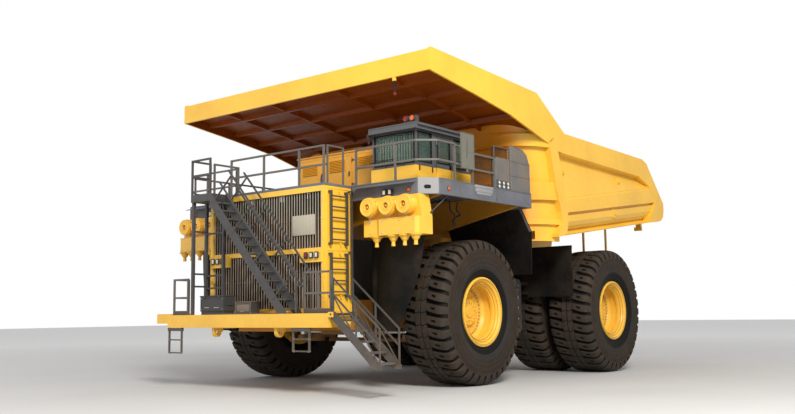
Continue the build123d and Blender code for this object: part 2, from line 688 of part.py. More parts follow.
def make_decks():
    dx, top = deck_half_x, deck_top_z
    low, under = top - fascia_h, top - deck_plate
    inner, wall = grille_half_x + 50, 60
    slant = wall * 0.42  # how far a corner moves in along the front edge for one wall
    corner_x, corner_y = dx - deck_corner, deck_y0 + deck_corner
    outline = [(inner, deck_y0), (corner_x, deck_y0), (dx, corner_y), (dx, deck_y1), (inner, deck_y1)]
    core = [
        (inner - cut, deck_y0 + wall),
        (corner_x - slant, deck_y0 + wall),
        (dx - wall, corner_y + slant),
        (dx - wall, deck_y1 - wall),
        (inner - cut, deck_y1 - wall),
    ]
    wing = plate_xy(outline, low, top) - plate_xy(core, low - cut, under)
    visor_y = deck_y0 - 220
    outline = [(deck_y0 + 1, top - 60), (visor_y, top - 120), (visor_y, top - 140), (deck_y0 + 1, top - 100)]
    visor = plate_yz(outline, 2480, corner_x - 60)
    centre = block(-inner, inner, grille_rear_y, deck_y1, under, top)
    cover_x = grille_half_x + 10
    cover = block(-cover_x, cover_x, grille_front_y, grille_rear_y, grille_top_z + seat_gap, top)
    save("upper_deck", both_sides(wing + visor) + centre + cover)

    frames = []
    leg_x0, leg_x1 = rail_outer_x - 260, rail_outer_x + 60
    arm = [(rail_outer_x, 4250), (dx - 160, 5000), (dx - 160, under), (rail_outer_x, under)]
    for y, foot in ((-5700, engine_rail_z), (-1950, 2800)):
        frames.append(block(leg_x0, leg_x1, y - 90, y + 90, foot, under) + plate_xz(arm, y - 60, y + 60))
    frames.append(block(leg_x0, leg_x1, front_axle_y - 150, front_axle_y + 150, collar_z[1], under))
    save("deck_supports", both_sides(fused(frames)))

    corner = [(corner_x - 80, rail_y), (rail_x, corner_y + 50)]
    left = railing([(2400, rail_y), *corner, (rail_x, rail_end_y)],
                   [(2400, rail_y), (3750, rail_y), (rail_x, rail_end_y)], top)
    middle = railing([(rail_x, -4380), (rail_x, -3330)], [(rail_x, -4380), (rail_x, -3330)], top, 850)
    rear_end = (rail_x, deck_y1 + 60)
    right_posts = [rear_end, (rail_x, -3000), (rail_x, -4500), corner[1], (3750, rail_y), (2400, rail_y)]
    right = mirrored(railing([rear_end, *reversed(corner), (2400, rail_y)], right_posts, top))
    front_y = grille_front_y + 40
    end_x = grille_half_x - 50
    front_posts = [(x, front_y) for x in (-1420, -70, 1300, end_x)]
    front = railing([front_posts[0], front_posts[-1]], front_posts, top)
    grab_y, grab_z = (-7190, -6590), (top + 20, top + rail_h)
    grab = [(end_x, grab_y[0], grab_z[0]), (end_x, grab_y[0], grab_z[1])]
    grab += [(end_x, grab_y[1], grab_z[1]), (end_x, grab_y[1], grab_z[0])]
    hoop = fused(tube_run(grab, 40))
    side = railing([(-end_x, -6400), (-end_x, -7300)], [(-end_x, -6400), (-end_x, -7300)], top)
    low_y = deck_front_y + 190
    foot, toe_y = bumper_top_z, (low_y - 30, low_y - 10)  # the toe plates' faces
    corner_line = [(-3180, -7400), (-3180, low_y), (-2560, low_y)]
    low_right = railing(corner_line, corner_line, foot, 1030)
    low_right += block(-3180, -2560, *toe_y, foot, foot + 80)
    gate = railing([(2080, low_y), (2980, low_y)], [(x, low_y) for x in (2080, 2560, 2980)], foot, 1050)
    gate += block(2080, 2980, *toe_y, foot, foot + 90)
    save("railings", left, middle, right, front, hoop, side, low_right, gate)

    guard_x = rail_x - 20
    panel_outline = [  # (y, height over the deck)
        (-3300, 230),
        (-2560, 230),
        (-2560, 0),
        (-2440, 0),
        (-2440, 870),
        (-3240, 870),
        (-3300, 810),
    ]
    panel = plate_yz([(y, top + h) for y, h in panel_outline], guard_x + 20, guard_x + 60)
    panel += block(guard_x + 20, guard_x + 60, -3300, -3260, top, top + 240)
    tower_outline = [  # (y, height over the deck)
        (-2570, 0),
        (-1500, 0),
        (-1500, 800),
        (-1640, 1100),
        (-1840, 1200),
        (-2480, 1280),
        (-2570, 1220),
    ]
    tower = plate_yz([(y, top + h) for y, h in tower_outline], guard_x, guard_x + 80)
    ribs = [block(guard_x + 79, guard_x + 90, -2570, -1500, top + z, top + z + 30) for z in (10, 420, 830)]
    save("side_guard_panels", fused([panel, tower, *ribs]))


# ---- Cab ----------------------------------------------------------------------------------------
pane_x = (cab_x0 + 25, cab_x1 - 25)  # the panes' outer faces
pane_y = (cab_y0 + 25, cab_y1 - 25)
window_low, window_high = 5960, 6720
through = cab_wall + cut
windows = [  # (x0, x1, y0, y1, low, high)
    (cab_x0 + 90, cab_x1 - 80, cab_y0 - cut, cab_y0 + through, 5940, 6735),
    (cab_x1 - through, cab_x1 + cut, cab_y0 + 80, -5140, 5970, 6735),
    (cab_x1 - through, cab_x1 + cut, -4080, -3480, window_low, window_high),
    (cab_x0 - cut, cab_x0 + through, -5600, -4700, window_low, window_high),
    (cab_x0 - cut, cab_x0 + through, -4500, -3600, window_low, window_high),
    (cab_x0 + 200, cab_x1 - 200, cab_y1 - through, cab_y1 + cut, window_low, window_high),
]


def make_cab():
    x0, x1, y0, y1 = cab_x0, cab_x1, cab_y0, cab_y1
    w, sill, eaves = cab_wall, cab_sill_z, cab_eaves_z
    base = block(x0 - 40, x1, y0 - 20, y1 + 50, deck_top_z, sill)
    base -= block(x0 + w, x1 - w, y0 + w, y1 - w, deck_top_z + 60, sill + cut)
    doorway = block(x1 - w - cut, x1 + cut, door_y[0] - 8, door_y[1] + 8, deck_top_z + 60, door_top_z)
    base -= doorway
    hinge_xy = (x1 + 30, door_y[0])
    lugs = []
    for z in door_hinge_z:
        arm = block(x1, x1 + 40, door_y[0] - 40, door_y[0] - 10, z - 25, z - 0.5)
        lugs.append(arm + disc_z(z - 25, z - 0.5, *hinge_xy, 22) + disc_z(z - 25, z + 90, *hinge_xy, 10))
    save("cab_base", base + lugs[0])
    room = block(x0 + w, x1 - w, y0 + w, y1 - w, sill - cut, eaves + cut)
    shell = block(x0, x1, y0, y1, sill, eaves) - room
    shell = shell - doorway - fused([block(*window) for window in windows])
    roof = block(x0 - 20, x1 + 120, y0 - 150, y1 + 60, eaves, cab_roof_z)
    roof += block(x1 + 100, x1 + 180, y0 - 100, y1 - 60, eaves + 90, cab_roof_z - 20)
    roof -= block(x0 + w, x1 - w, y0 + w, y1 - w, eaves - cut, eaves + 60)
    save("cab_shell", fused([shell, lugs[1], roof]))
    sheet = block(*pane_x, *pane_y, sill, eaves)
    sheet -= block(pane_x[0] + glass_thick, pane_x[1] - glass_thick, pane_y[0] + glass_thick,
                   pane_y[1] - glass_thick, sill, eaves)
    save("cab_glazing", *[block(*window) & sheet for window in windows])
    leaf = block(x1 - 45, x1 + 12, *door_y, deck_top_z + 68, door_top_z - 8)
    leaf -= block(x1 - 60, x1 + 20, door_y[0] + 70, door_y[1] - 90, 6010, 6650)
    for z in door_hinge_z:
        leaf -= disc_z(z - 31, z + 1, *hinge_xy, 28)
        leaf += disc_z(z, z + 120, *hinge_xy, 22)
        leaf -= disc_z(z - 1, z + 100, *hinge_xy, 10 + pin_gap)
    save("cab_door", leaf)
    floor = deck_top_z + 60
    seat = block(3080, 3560, -4700, -4180, floor, floor + 450)
    seat += block(3100, 3540, -4260, -4120, floor + 430, floor + 1100)
    dash = block(x0 + w, x1 - w, y0 + w, y0 + w + 380, floor, floor + 500)
    column = bar((3320, y0 + w + 200, floor + 400), (3320, y0 + w + 520, floor + 720), 30)
    wheel = Plane(origin=(3320, y0 + w + 520, floor + 720), z_dir=(0, 1, 1)) * Torus(200, 18)
    spoke = Plane(origin=(3320, y0 + w + 520, floor + 720), z_dir=(0, 1, 1)) * Box(400, 40, 20)
    save("cab_interior", seat, fused([dash, column, wheel, spoke]))


# ---- Boxes, tanks, shields and lamps ------------------------------------------------------------
pod_low, pod_step, pod_top = 3970, 4400, deck_top_z - fascia_h
canister_x = (3140, 3760, 4330)
cone_x = (3280, 3830, 4200, 4550)
mirror_z = (5760, 6720)


def make_air_intakes():
    """The two banks of air cleaners under the deck's front edge."""
    front, rear = -6620, -6000
    plan = [
        (2870, front + 90),
        (3330, front + 90),
        (3450, front),
        (4620, front),
        (4700, front + 80),
        (4700, rear),
        (2870, rear),
    ]
    lower = plate_xy(plan, pod_low, pod_step)
    top_z = pod_top - seat_gap
    upper = plate_xz([(2950, pod_step), (4700, pod_step), (4600, top_z), (2950, top_z)], front + 190, rear)
    shape = lower + upper
    for x in canister_x:
        shape += disc_y(front - 100, front + 200, x, 4720, 232) + disc_y(front - 50, front + 10, x, 4720, 250)
        shape -= disc_y(front - 100 - cut, front - 60, x, 4720, 78)
    for x in cone_x:
        shape += Pos(x, front + 120, pod_low - 65) * Cone(80, 150, 140)
        shape += disc_z(pod_low - 280, pod_low - 120, x, front + 120, 48)
    save("air_intakes", both_sides(shape))


def make_shields():
    """The curved splash shields, the mudguards between the wheels and the flaps before the duals."""
    outline = [
        (2740, pod_low - seat_gap),
        (4380, pod_low - seat_gap),
        (4290, 3280),
        (4095, 2530),
        (3790, 1880),
        (3550, 1580),
        (2740, 1550),
    ]
    centre, radius = (3600, -4650), 1500
    curve = disc_z(1500, 4000, *centre, radius) - disc_z(1490, 4010, *centre, radius - 30)
    save("splash_shields", both_sides(plate_xz(outline, -6200, -5600) & curve))
    top_z, low_z = deck_top_z - fascia_h - seat_gap, 3120
    top_y, low_y = deck_y1 - 30, -520
    side_view = [(top_y - 20, top_z), (top_y + 20, top_z), (low_y + 20, low_z), (low_y - 20, low_z)]
    slab = plate_yz(side_view, 1700, 4900)
    front_view = [(1800, top_z), (4580, top_z), (4700, 4340), (4290, low_z), (1800, low_z)]
    guard = slab & plate_xz(front_view, -1600, -400)
    rib_drop = 740
    foot_z = top_z - rib_drop
    foot_y = top_y + rib_drop * (low_y - top_y) / (top_z - low_z)
    rib_view = [(top_y - 60, top_z), (top_y, top_z), (foot_y, foot_z), (foot_y - 60, foot_z)]
    for x in (2600, 3300, 4000):
        guard += plate_yz(rib_view, x, x + 30)
    save("mid_mudguards", both_sides(guard))
    flap = block(1790, 4480, 1660, 1690, 2480, 4000)
    beam = block(1790, 4480, 1640, 1700, 3990, 4090)
    arms = []
    for z in (2560, 2860):
        arms += [block(x, x + 100, tank_y[1] + seat_gap, 1670, z, z + 100) for x in (2000, 2750)]
    save("rear_mudguards", both_sides(fused([beam, flap, *arms])))


tank_y = (-150, 1130)


def make_fittings():
    save("control_cabinet", fused([
        block(-1000, 2300, -5100, -3600, deck_top_z, 6640),
        *[block(x, x + 1060, -5118, -5090, deck_top_z + 90, 6580) for x in (-970, 120, 1210)],
    ]))
    tank = fillet(block(1960, 2900, *tank_y, 1350, 3050).edges().filter_by(Axis.X), 180)
    straps = [block(rail_outer_x, 1970, y, y + 150, 2560, 2700) for y in (-100, 350)]
    save("side_tanks", both_sides(fused([tank, *straps])))
    big = block(-1900, -900, -8000, -7600, bumper_top_z + 90, 2540)
    big += block(-1880, -920, -7980, -7620, bumper_top_z, 2130)
    small = block(-450, 190, -8000, -7700, bumper_top_z, 2360)
    save("bumper_boxes", big, small)
    lamps = []
    for x in (1660, 1850, 2040):
        lamp = block(x - 55, x + 55, lamp_panel_y - 40, lamp_panel_y - seat_gap, 3450, 3600)
        lamps.append(both_sides(lamp))
    for x in (3460, 3650):
        lamp = block(x - 65, x + 65, deck_y0 - 60, deck_y0 - seat_gap, 5020, 5180)
        lamps.append(both_sides(lamp))
    work_x = rail_x + 5
    work = block(work_x - 40, work_x + 40, -3250, -2580, deck_top_z, deck_top_z + 225)
    for y in (-3140, -2915, -2690):
        for z in (deck_top_z + 62, deck_top_z + 165):
            work += disc_x(work_x + 30, work_x + 52, y, z, 46)
    lamps.append(work)
    roof_bar = block(3650, 4060, cab_y0 - 20, cab_y0 + 120, cab_roof_z, cab_roof_z + 60)
    roof_bar += fused([disc_y(cab_y0 - 50, cab_y0 + 140, x, cab_roof_z + 130, 85) for x in (3745, 3955)])
    roof_bar += block(3660, 4050, cab_y0 - 10, cab_y0 + 130, cab_roof_z + 50, cab_roof_z + 200)
    beacon = disc_z(deck_top_z, deck_top_z + 150, 2050, grille_front_y + 150, 55)
    lamps += [roof_bar, beacon]
    save("lamps", *lamps)
    mirror_x = deck_half_x - 4
    plate = block(mirror_x - 16, mirror_x + 19, -4970, -4380, *mirror_z)
    arm_x = rail_x + tube_s / 2 + 18 + seat_gap
    arms = [square_bar((arm_x, rail_end_y, z), (arm_x, -4930, z), 36) for z in (5850, 6330)]
    upright = square_bar((mirror_x, -4700, mirror_z[0] - 60), (mirror_x, -4700, mirror_z[1] - 60), 40)
    save("mirrors", fused([plate, *arms, upright]))


# ---- Bed ----------------------------------------------------------------------------------------
side_in_x = bed_half_x - 285  # inner edge of the posts and rails of a side
panel_top_x = bed_half_x - 235  # the side panel, set in under the top rail
side_levels = {  # name: (height at bed_y[0], height at bed_y[1])
    "flange": (flange_z(bed_y[0]), flange_z(bed_y[1])),
    "band_low": (4990, 6010),
    "band_high": (5440, 6570),
    "rail_low": (6860, 6700),
    "top": (7493, 7375),
}
side_section = [  # (x, level, height over it), round the outside and back up the inside
    (bed_half_x, "top", 0),
    (bed_half_x, "rail_low", 0),
    (panel_top_x, "rail_low", -50),
    (bed_half_x - 45, "band_high", 0),
    (bed_half_x - 10, "band_high", -60),
    (bed_half_x - 10, "band_low", 0),
    (bed_half_x - 145, "band_low", 0),
    (bed_half_x - 145, "band_low", -90),
    (bed_half_x - 65, "band_low", -90),
    (bed_half_x - 70, "flange", 420),
    (bed_half_x - 125, "flange", 290),
    (bed_half_x - 225, "flange", 200),
    (bed_half_x - 325, "flange", 150),
    (bed_half_x - 185, "flange", 30),
    (bed_half_x - 185, "flange", 0),
    (floor_half_x, "flange", 0),
    (floor_half_x, "flange", 380),
    (floor_half_x + 90, "flange", 480),
    (floor_half_x + 180, "flange", 720),
    (floor_half_x + 180, "top", 0),
]
post_front_foot = [(330, 4700), (250, 4480), (60, 4330), (60, 4240), (420, 4290), (600, 4400), (690, 4640)]
post_front_head = [(700, 4990), (720, 5300), (170, 6960), (-170, 7080), (-310, 7010), (30, 5670), (300, 5000)]
post_rear_foot = [(7330, 6040), (7270, 5760), (6880, 5360), (6880, 5150), (7400, 5205), (7800, 5270)]
post_rear_head = [(8020, 5420), (8100, 5640), (8100, 5930), (6740, 7280), (6370, 7400), (6130, 7390)]
post_rear_head += [(6130, 6700), (6800, 6500)]


def level_z(name, y):
    """The height of one of the side's lines at y."""
    (z0, z1), (y0, y1) = side_levels[name], bed_y
    return z0 + (z1 - z0) * (y - y0) / (y1 - y0)


def sheared(points, y0, y1, z_at_y0):
    """A section of (x, height) points carried rearwards along the floor's slope."""
    face = make_face(Polyline(*[(x, y0, z_at_y0 + h) for x, h in points], close=True))
    run = y1 - y0
    return extrude(face, amount=hypot(run, run * flange_rise), dir=(0, 1, flange_rise))


def box_section(half, low, high):
    """A rectangle across the bed, as (x, height) points."""
    return [(-half, low), (half, low), (half, high), (-half, high)]


def make_bed_floor():
    plate = box_section(floor_half_x - seat_gap, floor_lift, floor_lift + bed_plate)
    parts = [sheared(plate, flange_y0, 8000, flange_z0)]
    for i in range(6):
        y = -100 + i * 1230
        section = box_section(floor_half_x - seat_gap, 20, floor_lift + cut)
        parts.append(sheared(section, y, y + 240, flange_z(y)))
    run = (-650, rail_top_y + 300)
    stringer = [(y, rail_top(y) + moving_gap) for y in (run[0], rail_top_y)]
    stringer += [(y, floor_under_z(y)) for y in (run[1], run[0])]
    paired = [plate_yz(stringer, rail_inner_x + 100, rail_outer_x - 100)]
    ear = [
        (pivot_y - 1000, floor_under_z(pivot_y - 1000)),
        (pivot_y - 240, pivot_z - 60),
        (pivot_y - 120, pivot_z - 210),
        (pivot_y + 120, pivot_z - 210),
        (pivot_y + 240, pivot_z - 60),
        (pivot_y + 1000, floor_under_z(pivot_y + 1000)),
    ]
    ear_in, ear_out = rail_inner_x - 150, rail_outer_x + 170
    paired.append(plate_yz(ear, rail_outer_x + moving_gap, ear_out))
    paired.append(plate_yz(ear, ear_in, rail_inner_x - moving_gap))
    paired.append(disc_x(ear_in, ear_out, pivot_y, pivot_z, pivot_r))
    pin_y, pin_z = hoist_top
    clevis = [
        (pin_y - 450, floor_under_z(pin_y - 450)),
        (pin_y - 240, pin_z - 120),
        (pin_y + 240, pin_z - 120),
        (pin_y + 450, floor_under_z(pin_y + 450)),
    ]
    paired += [plate_yz(clevis, x, x + 60) for x in (hoist_x - 260, hoist_x + 200)]
    duals_x = rear_outer_track / 2 - dual_spacing / 2
    for y, length in ((4920, 1150), (6670, 900)):
        foot = flange_z(y) - length
        paired.append(disc_z(foot, floor_under_z(y), duals_x, y, 42))
        paired.append(block(duals_x - 90, duals_x + 90, y - 90, y + 90, flange_z(y) - 60, floor_under_z(y)))
    lamp_y = 7380
    bracket_x = floor_half_x - 170
    paired.append(block(bracket_x - 90, bracket_x + 90, lamp_y, lamp_y + 130, 4960, floor_under_z(lamp_y)))
    paired.append(block(bracket_x - 150, bracket_x + 130, lamp_y - 20, lamp_y + 60, 4930, 5060))
    save("bed_floor", fused([*parts, *[both_sides(s) for s in paired]]))


def make_side():
    """The left side: its panel, bands, skirt and flange in one section, and its two end posts."""
    ends = []
    for y in bed_y:
        points = [(x, y, level_z(level, y) + over) for x, level, over in side_section]
        ends.append(make_face(Polyline(*points, close=True)))
    body = loft(ends, ruled=True)
    front, rear = bed_y[0] - cut, 8200
    outer = [(front, 4000), (rear, 4000), (rear, 5500), (6760, 7275), (6370, 7400)]
    outer += [(630, 7490), (front, 7480)]
    body = body & plate_yz(outer, floor_half_x - 80, bed_half_x)
    nose = [(-170, 7060), (-170, 6930), (500, 6850), (500, 7493), (630, 7493), (0, 7300)]
    outlines = [post_front_foot + post_front_head, post_rear_foot + post_rear_head, nose]
    return fused([body, *[plate_yz(outline, side_in_x, bed_half_x) for outline in outlines]])


wall_thick = 90
wall_flat_x = bed_half_x - 1425
wall_end = (bed_half_x - 175, 420)  # where the wall's outer face meets the side's front post
wall_lean_z = 5360
wall_lean = (0, -590, 1600)
wall_top_z = 7750
wall_ribs = [  # (foot height, head height, how far it stands out) of the bands round the wall
    (4620, 4800, 110),
    (wall_lean_z, 5900, 150),
    (6930, 7290, 150),
]


def wall_face(z, outside):
    """The wall's outline in plan at height z, its outer face moved out by outside."""
    flat_y, (end_x, end_y) = flange_y0 - outside, wall_end
    inner_x, inner_y = end_x - wall_thick, flange_y0 + wall_thick
    outer_x, mid = end_x + outside, 0.7071
    corner = (wall_flat_x + mid * (outer_x - wall_flat_x), end_y + mid * (flat_y - end_y))
    bend = (wall_flat_x + mid * (inner_x - wall_flat_x), end_y + mid * (inner_y - end_y))
    edges = [
        Line((-wall_flat_x, flat_y, z), (wall_flat_x, flat_y, z)),
        ThreePointArc((wall_flat_x, flat_y, z), (*corner, z), (outer_x, end_y, z)),
        Line((outer_x, end_y, z), (inner_x, end_y, z)),
        ThreePointArc((inner_x, end_y, z), (*bend, z), (wall_flat_x, inner_y, z)),
        Line((wall_flat_x, inner_y, z), (-wall_flat_x, inner_y, z)),
        ThreePointArc((-wall_flat_x, inner_y, z), (-bend[0], bend[1], z), (-inner_x, end_y, z)),
        Line((-inner_x, end_y, z), (-outer_x, end_y, z)),
        ThreePointArc((-outer_x, end_y, z), (-corner[0], corner[1], z), (-wall_flat_x, flat_y, z)),
    ]
    return make_face(Wire(edges))


def wall_band(z0, z1, outside):
    """A length of the wall between two heights, upright below the bend and leaning forward above."""
    upright = z1 <= wall_lean_z
    direction = (0, 0, 1) if upright else wall_lean
    face = wall_face(z0, outside)
    if not upright:
        face = Pos(0, (z0 - wall_lean_z) * wall_lean[1] / wall_lean[2], 0) * face
    return extrude(face, amount=(z1 - z0) * hypot(*direction) / direction[2], dir=direction)


def make_bed():
    make_bed_floor()
    top_edge = [(lip_y, 8680), (lip_y + 60, 8730), (-1000, 8490), (630, 7493)]
    low_edge = [(0, 7300), (-400, 7060), (-1450, 7320), (-2530, 7590), (-4290, 7860), (lip_y, 8130)]
    flange = plate_yz(top_edge + low_edge, bed_half_x - 65, bed_half_x)
    # The sheet's underside
    under = [(lip_y, 8380), (-4290, 8110), (-2530, 7840), (-1450, 7570), (-900, 7400)]
    sheet_x = bed_half_x - 55
    sheet = plate_yz(under + [(y, z + 90) for y, z in reversed(under)], -sheet_x, sheet_x)
    lip = plate_yz([(lip_y, 8130), (lip_y + 70, 8130), (lip_y + 70, 8700), (lip_y, 8680)], -sheet_x, sheet_x)
    ribs = []
    for y, z in ((-5300, 8225), (-4200, 8096), (-3100, 7933), (-2100, 7683)):
        ribs.append(block(-sheet_x, sheet_x, y - 60, y + 60, z - 110, z + 40))
    canopy = fused([sheet, lip, *ribs, both_sides(flange)])
    save("bed_canopy", canopy)
    sides = both_sides(make_side() - flange)
    save("bed_sides", sides)

    bands = [wall_band(flange_z0, wall_lean_z, 0), wall_band(wall_lean_z, wall_top_z, 0)]
    bands += [wall_band(*rib) for rib in wall_ribs]
    room = under + [(-300, 7150), (0, 7290), (500, 7300), (500, 4100), (-450, 4100)]
    room += [(-700, 4220), (-860, 4420), (-950, 4650), (lip_y, 4650)]
    wall = fused(bands) & plate_yz(room, -bed_half_x, bed_half_x)
    floor_room = sheared(box_section(floor_half_x, 0, floor_lift + bed_plate), -1000, 600, flange_z(-1000))
    save("bed_front_wall", wall - floor_room - sides - canopy)


# ---- Hoist cylinders ----------------------------------------------------------------------------
def make_hoists():
    (y0, z0), (y1, z1) = hoist_low, hoist_top
    length = hypot(y1 - y0, z1 - z0)
    axis = Plane(origin=(hoist_x, y0, z0), z_dir=(0, y1 - y0, z1 - z0), x_dir=(1, 0, 0))
    stage_r = hoist_r - hoist_wall - pin_gap
    rod_r = stage_r - hoist_wall - pin_gap
    stand = (Align.CENTER, Align.CENTER, Align.MIN)

    def tube(start, end, outer, inner, closed):
        body = Pos(0, 0, start) * Cylinder(outer, end - start, align=stand)
        hole = Pos(0, 0, start + closed) * Cylinder(inner, end - start, align=stand)
        return axis * (body - hole)

    eye = disc_x(hoist_x - 110, hoist_x + 110, y0, z0, 190)
    barrel = tube(120, 2050, hoist_r, hoist_r - hoist_wall, 200) + eye
    barrel -= disc_x(hoist_x - 120, hoist_x + 120, y0, z0, hoist_pin_r + pin_gap)
    save("hoist_barrels", both_sides(barrel))
    save("hoist_stages", both_sides(tube(350, 2200, stage_r, stage_r - hoist_wall, 0)))
    rod = tube(500, length - 80, rod_r, 40, length)
    rod += disc_x(hoist_x - 110, hoist_x + 110, y1, z1, 120)
    save("hoist_rods", both_sides(rod))


if __name__ == "__main__":
    make_wheels()
    make_chassis_frame()
    make_steering()
    make_rear_axle()
    make_front_end()
    make_access_stairs()
    make_ladders()
    make_boarding_stair()
    make_decks()
    make_cab()
    make_air_intakes()
    make_shields()
    make_fittings()
    make_bed()
    make_hoists()
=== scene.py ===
"""Look and finish of the mining dump truck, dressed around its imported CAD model."""

import json
from math import cos, hypot, pi, radians, sin

import bmesh
import bpy
from mathutils import Matrix, Vector


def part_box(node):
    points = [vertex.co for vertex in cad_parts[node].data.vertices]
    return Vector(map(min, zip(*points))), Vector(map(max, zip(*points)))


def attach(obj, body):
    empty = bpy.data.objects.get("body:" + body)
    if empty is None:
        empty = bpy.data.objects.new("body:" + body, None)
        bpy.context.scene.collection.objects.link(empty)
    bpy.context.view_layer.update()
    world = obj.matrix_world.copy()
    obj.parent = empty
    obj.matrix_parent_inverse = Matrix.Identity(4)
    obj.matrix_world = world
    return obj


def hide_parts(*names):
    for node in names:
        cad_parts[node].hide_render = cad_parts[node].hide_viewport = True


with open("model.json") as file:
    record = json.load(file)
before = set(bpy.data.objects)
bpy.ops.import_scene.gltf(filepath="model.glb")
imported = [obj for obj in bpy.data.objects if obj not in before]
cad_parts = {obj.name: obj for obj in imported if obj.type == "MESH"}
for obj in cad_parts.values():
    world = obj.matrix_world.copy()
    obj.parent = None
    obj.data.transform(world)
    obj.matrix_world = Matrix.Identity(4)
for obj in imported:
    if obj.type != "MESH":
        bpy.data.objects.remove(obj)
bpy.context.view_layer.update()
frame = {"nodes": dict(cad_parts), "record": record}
nodes = frame["nodes"]


# ---- Sizes that come from the frame -------------------------------------------------------------
def middle_of(node):
    """The middle of a CAD node's box."""
    low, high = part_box(node)
    return (low + high) / 2


def size_of(node):
    """The size of a CAD node's box."""
    low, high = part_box(node)
    return high - low


tyre_width = size_of("front_tyre_left").x
tyre_radius = middle_of("front_tyre_left").z
half_tyre = tyre_width / 2
lug_pitches = 38
deck_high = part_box("upper_deck")[1]
base_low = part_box("cab_base")[0]
sides = {"left": 1, "right": -1}


# ---- Finishes -----------------------------------------------------------------------------------
def new_finish(name, colour, roughness, metallic=0.0):
    """A material with its shader, ready for the nodes that vary it."""
    material = bpy.data.materials.new(name)
    material.use_nodes = True
    shader = material.node_tree.nodes["Principled BSDF"]
    shader.inputs["Base Color"].default_value = (*colour, 1.0)
    shader.inputs["Roughness"].default_value = roughness
    shader.inputs["Metallic"].default_value = metallic
    return material, material.node_tree, shader


def grey(level):
    """A plain grey as a socket's colour."""
    return (level, level, level, 1.0)


def noise(tree, coords, scale, detail=4.0, roughness=0.55):
    """A noise texture on the piece's own coordinates."""
    node = tree.nodes.new("ShaderNodeTexNoise")
    node.inputs["Scale"].default_value = scale
    node.inputs["Detail"].default_value = detail
    node.inputs["Roughness"].default_value = roughness
    tree.links.new(coords, node.inputs["Vector"])
    return node.outputs["Fac"]


def stretched(tree, coords, scale):
    """Coordinates scaled unevenly, for streaks."""
    node = tree.nodes.new("ShaderNodeMapping")
    node.inputs["Scale"].default_value = scale
    tree.links.new(coords, node.inputs["Vector"])
    return node.outputs["Vector"]


def ramp(tree, factor, low, high, start, end):
    """A smooth change between two grey levels or colours along a factor."""
    node = tree.nodes.new("ShaderNodeValToRGB")
    first, last = node.color_ramp.elements
    first.position, last.position = start, end
    first.color, last.color = low, high
    tree.links.new(factor, node.inputs["Fac"])
    return node.outputs["Color"]


def maths(tree, operation, *values):
    """A sum on sockets or plain numbers."""
    node = tree.nodes.new("ShaderNodeMath")
    node.operation = operation
    for index, value in enumerate(values):
        if isinstance(value, (int, float)):
            node.inputs[index].default_value = value
        else:
            tree.links.new(value, node.inputs[index])
    return node.outputs["Value"]


def blend(tree, factor, a, b):
    """Mixes two colours; each is a socket or a plain colour."""
    node = tree.nodes.new("ShaderNodeMix")
    node.data_type = "RGBA"
    tree.links.new(factor, node.inputs["Factor"])
    for index, value in ((6, a), (7, b)):
        if isinstance(value, tuple):
            node.inputs[index].default_value = value
        else:
            tree.links.new(value, node.inputs[index])
    return node.outputs[2]


def height_fade(tree, axis, from_z, to_z, low, high):
    """A factor that goes from low at height from_z to high at height to_z."""
    node = tree.nodes.new("ShaderNodeMapRange")
    tree.links.new(axis, node.inputs["Value"])
    for name, value in (("From Min", from_z), ("From Max", to_z), ("To Min", low), ("To Max", high)):
        node.inputs[name].default_value = value
    return node.outputs["Result"]


def bumped(tree, shader, height, strength, distance):
    """Sets the shader's normal from a height."""
    node = tree.nodes.new("ShaderNodeBump")
    node.inputs["Strength"].default_value = strength
    node.inputs["Distance"].default_value = distance
    tree.links.new(height, node.inputs["Height"])
    tree.links.new(node.outputs["Normal"], shader.inputs["Normal"])


DUST = (0.30, 0.19, 0.09, 1.0)


def painted(name, colour, roughness=0.38, fade=0.86, dust=0.3, dust_top=2.6, coat=0.0, grain=7.0,
            lower=None):
    """Weathered paint: faded patches, faint runs of dirt, and dust that thickens towards the ground.

    lower is (height, colour): the second tone of a two-tone piece, below that height.
    """
    material, tree, shader = new_finish(name, colour, roughness)
    shader.inputs["Coat Weight"].default_value = coat
    shader.inputs["Coat Roughness"].default_value = 0.25
    coords = tree.nodes.new("ShaderNodeTexCoord").outputs["Object"]
    split = tree.nodes.new("ShaderNodeSeparateXYZ")
    tree.links.new(coords, split.inputs["Vector"])
    z = split.outputs["Z"]
    patches = ramp(tree, noise(tree, coords, 0.5, 5.0, 0.6), grey(0.0), grey(1.0), 0.35, 0.7)
    specks = noise(tree, coords, grain, 6.0, 0.6)
    tone = (*colour, 1.0)
    if lower:
        step = maths(tree, "LESS_THAN", z, lower[0])
        tone = blend(tree, step, tone, (*lower[1], 1.0))
    shade = tree.nodes.new("ShaderNodeMix")
    shade.data_type, shade.blend_type = "RGBA", "MULTIPLY"
    tree.links.new(patches, shade.inputs["Factor"])
    if isinstance(tone, tuple):
        shade.inputs[6].default_value = tone
    else:
        tree.links.new(tone, shade.inputs[6])
    shade.inputs[7].default_value = (fade, fade * 0.97, fade * 0.94, 1.0)
    runs = noise(tree, stretched(tree, coords, (2.6, 2.6, 0.35)), 1.6, 4.0, 0.6)
    stained = maths(tree, "MULTIPLY", ramp(tree, runs, grey(0.0), grey(1.0), 0.56, 0.78), 0.22 * dust)
    dusty = maths(tree, "MULTIPLY", height_fade(tree, z, 0.2, dust_top, dust, 0.03),
                  ramp(tree, specks, grey(0.25), grey(1.0), 0.35, 0.7))
    cover = maths(tree, "MAXIMUM", stained, dusty)
    tree.links.new(blend(tree, cover, shade.outputs[2], DUST), shader.inputs["Base Color"])
    tree.links.new(ramp(tree, specks, grey(roughness - 0.06), grey(roughness + 0.14), 0.3, 0.7),
                   shader.inputs["Roughness"])
    bumped(tree, shader, noise(tree, coords, 55.0, 2.0), 0.05, 0.004)
    return material


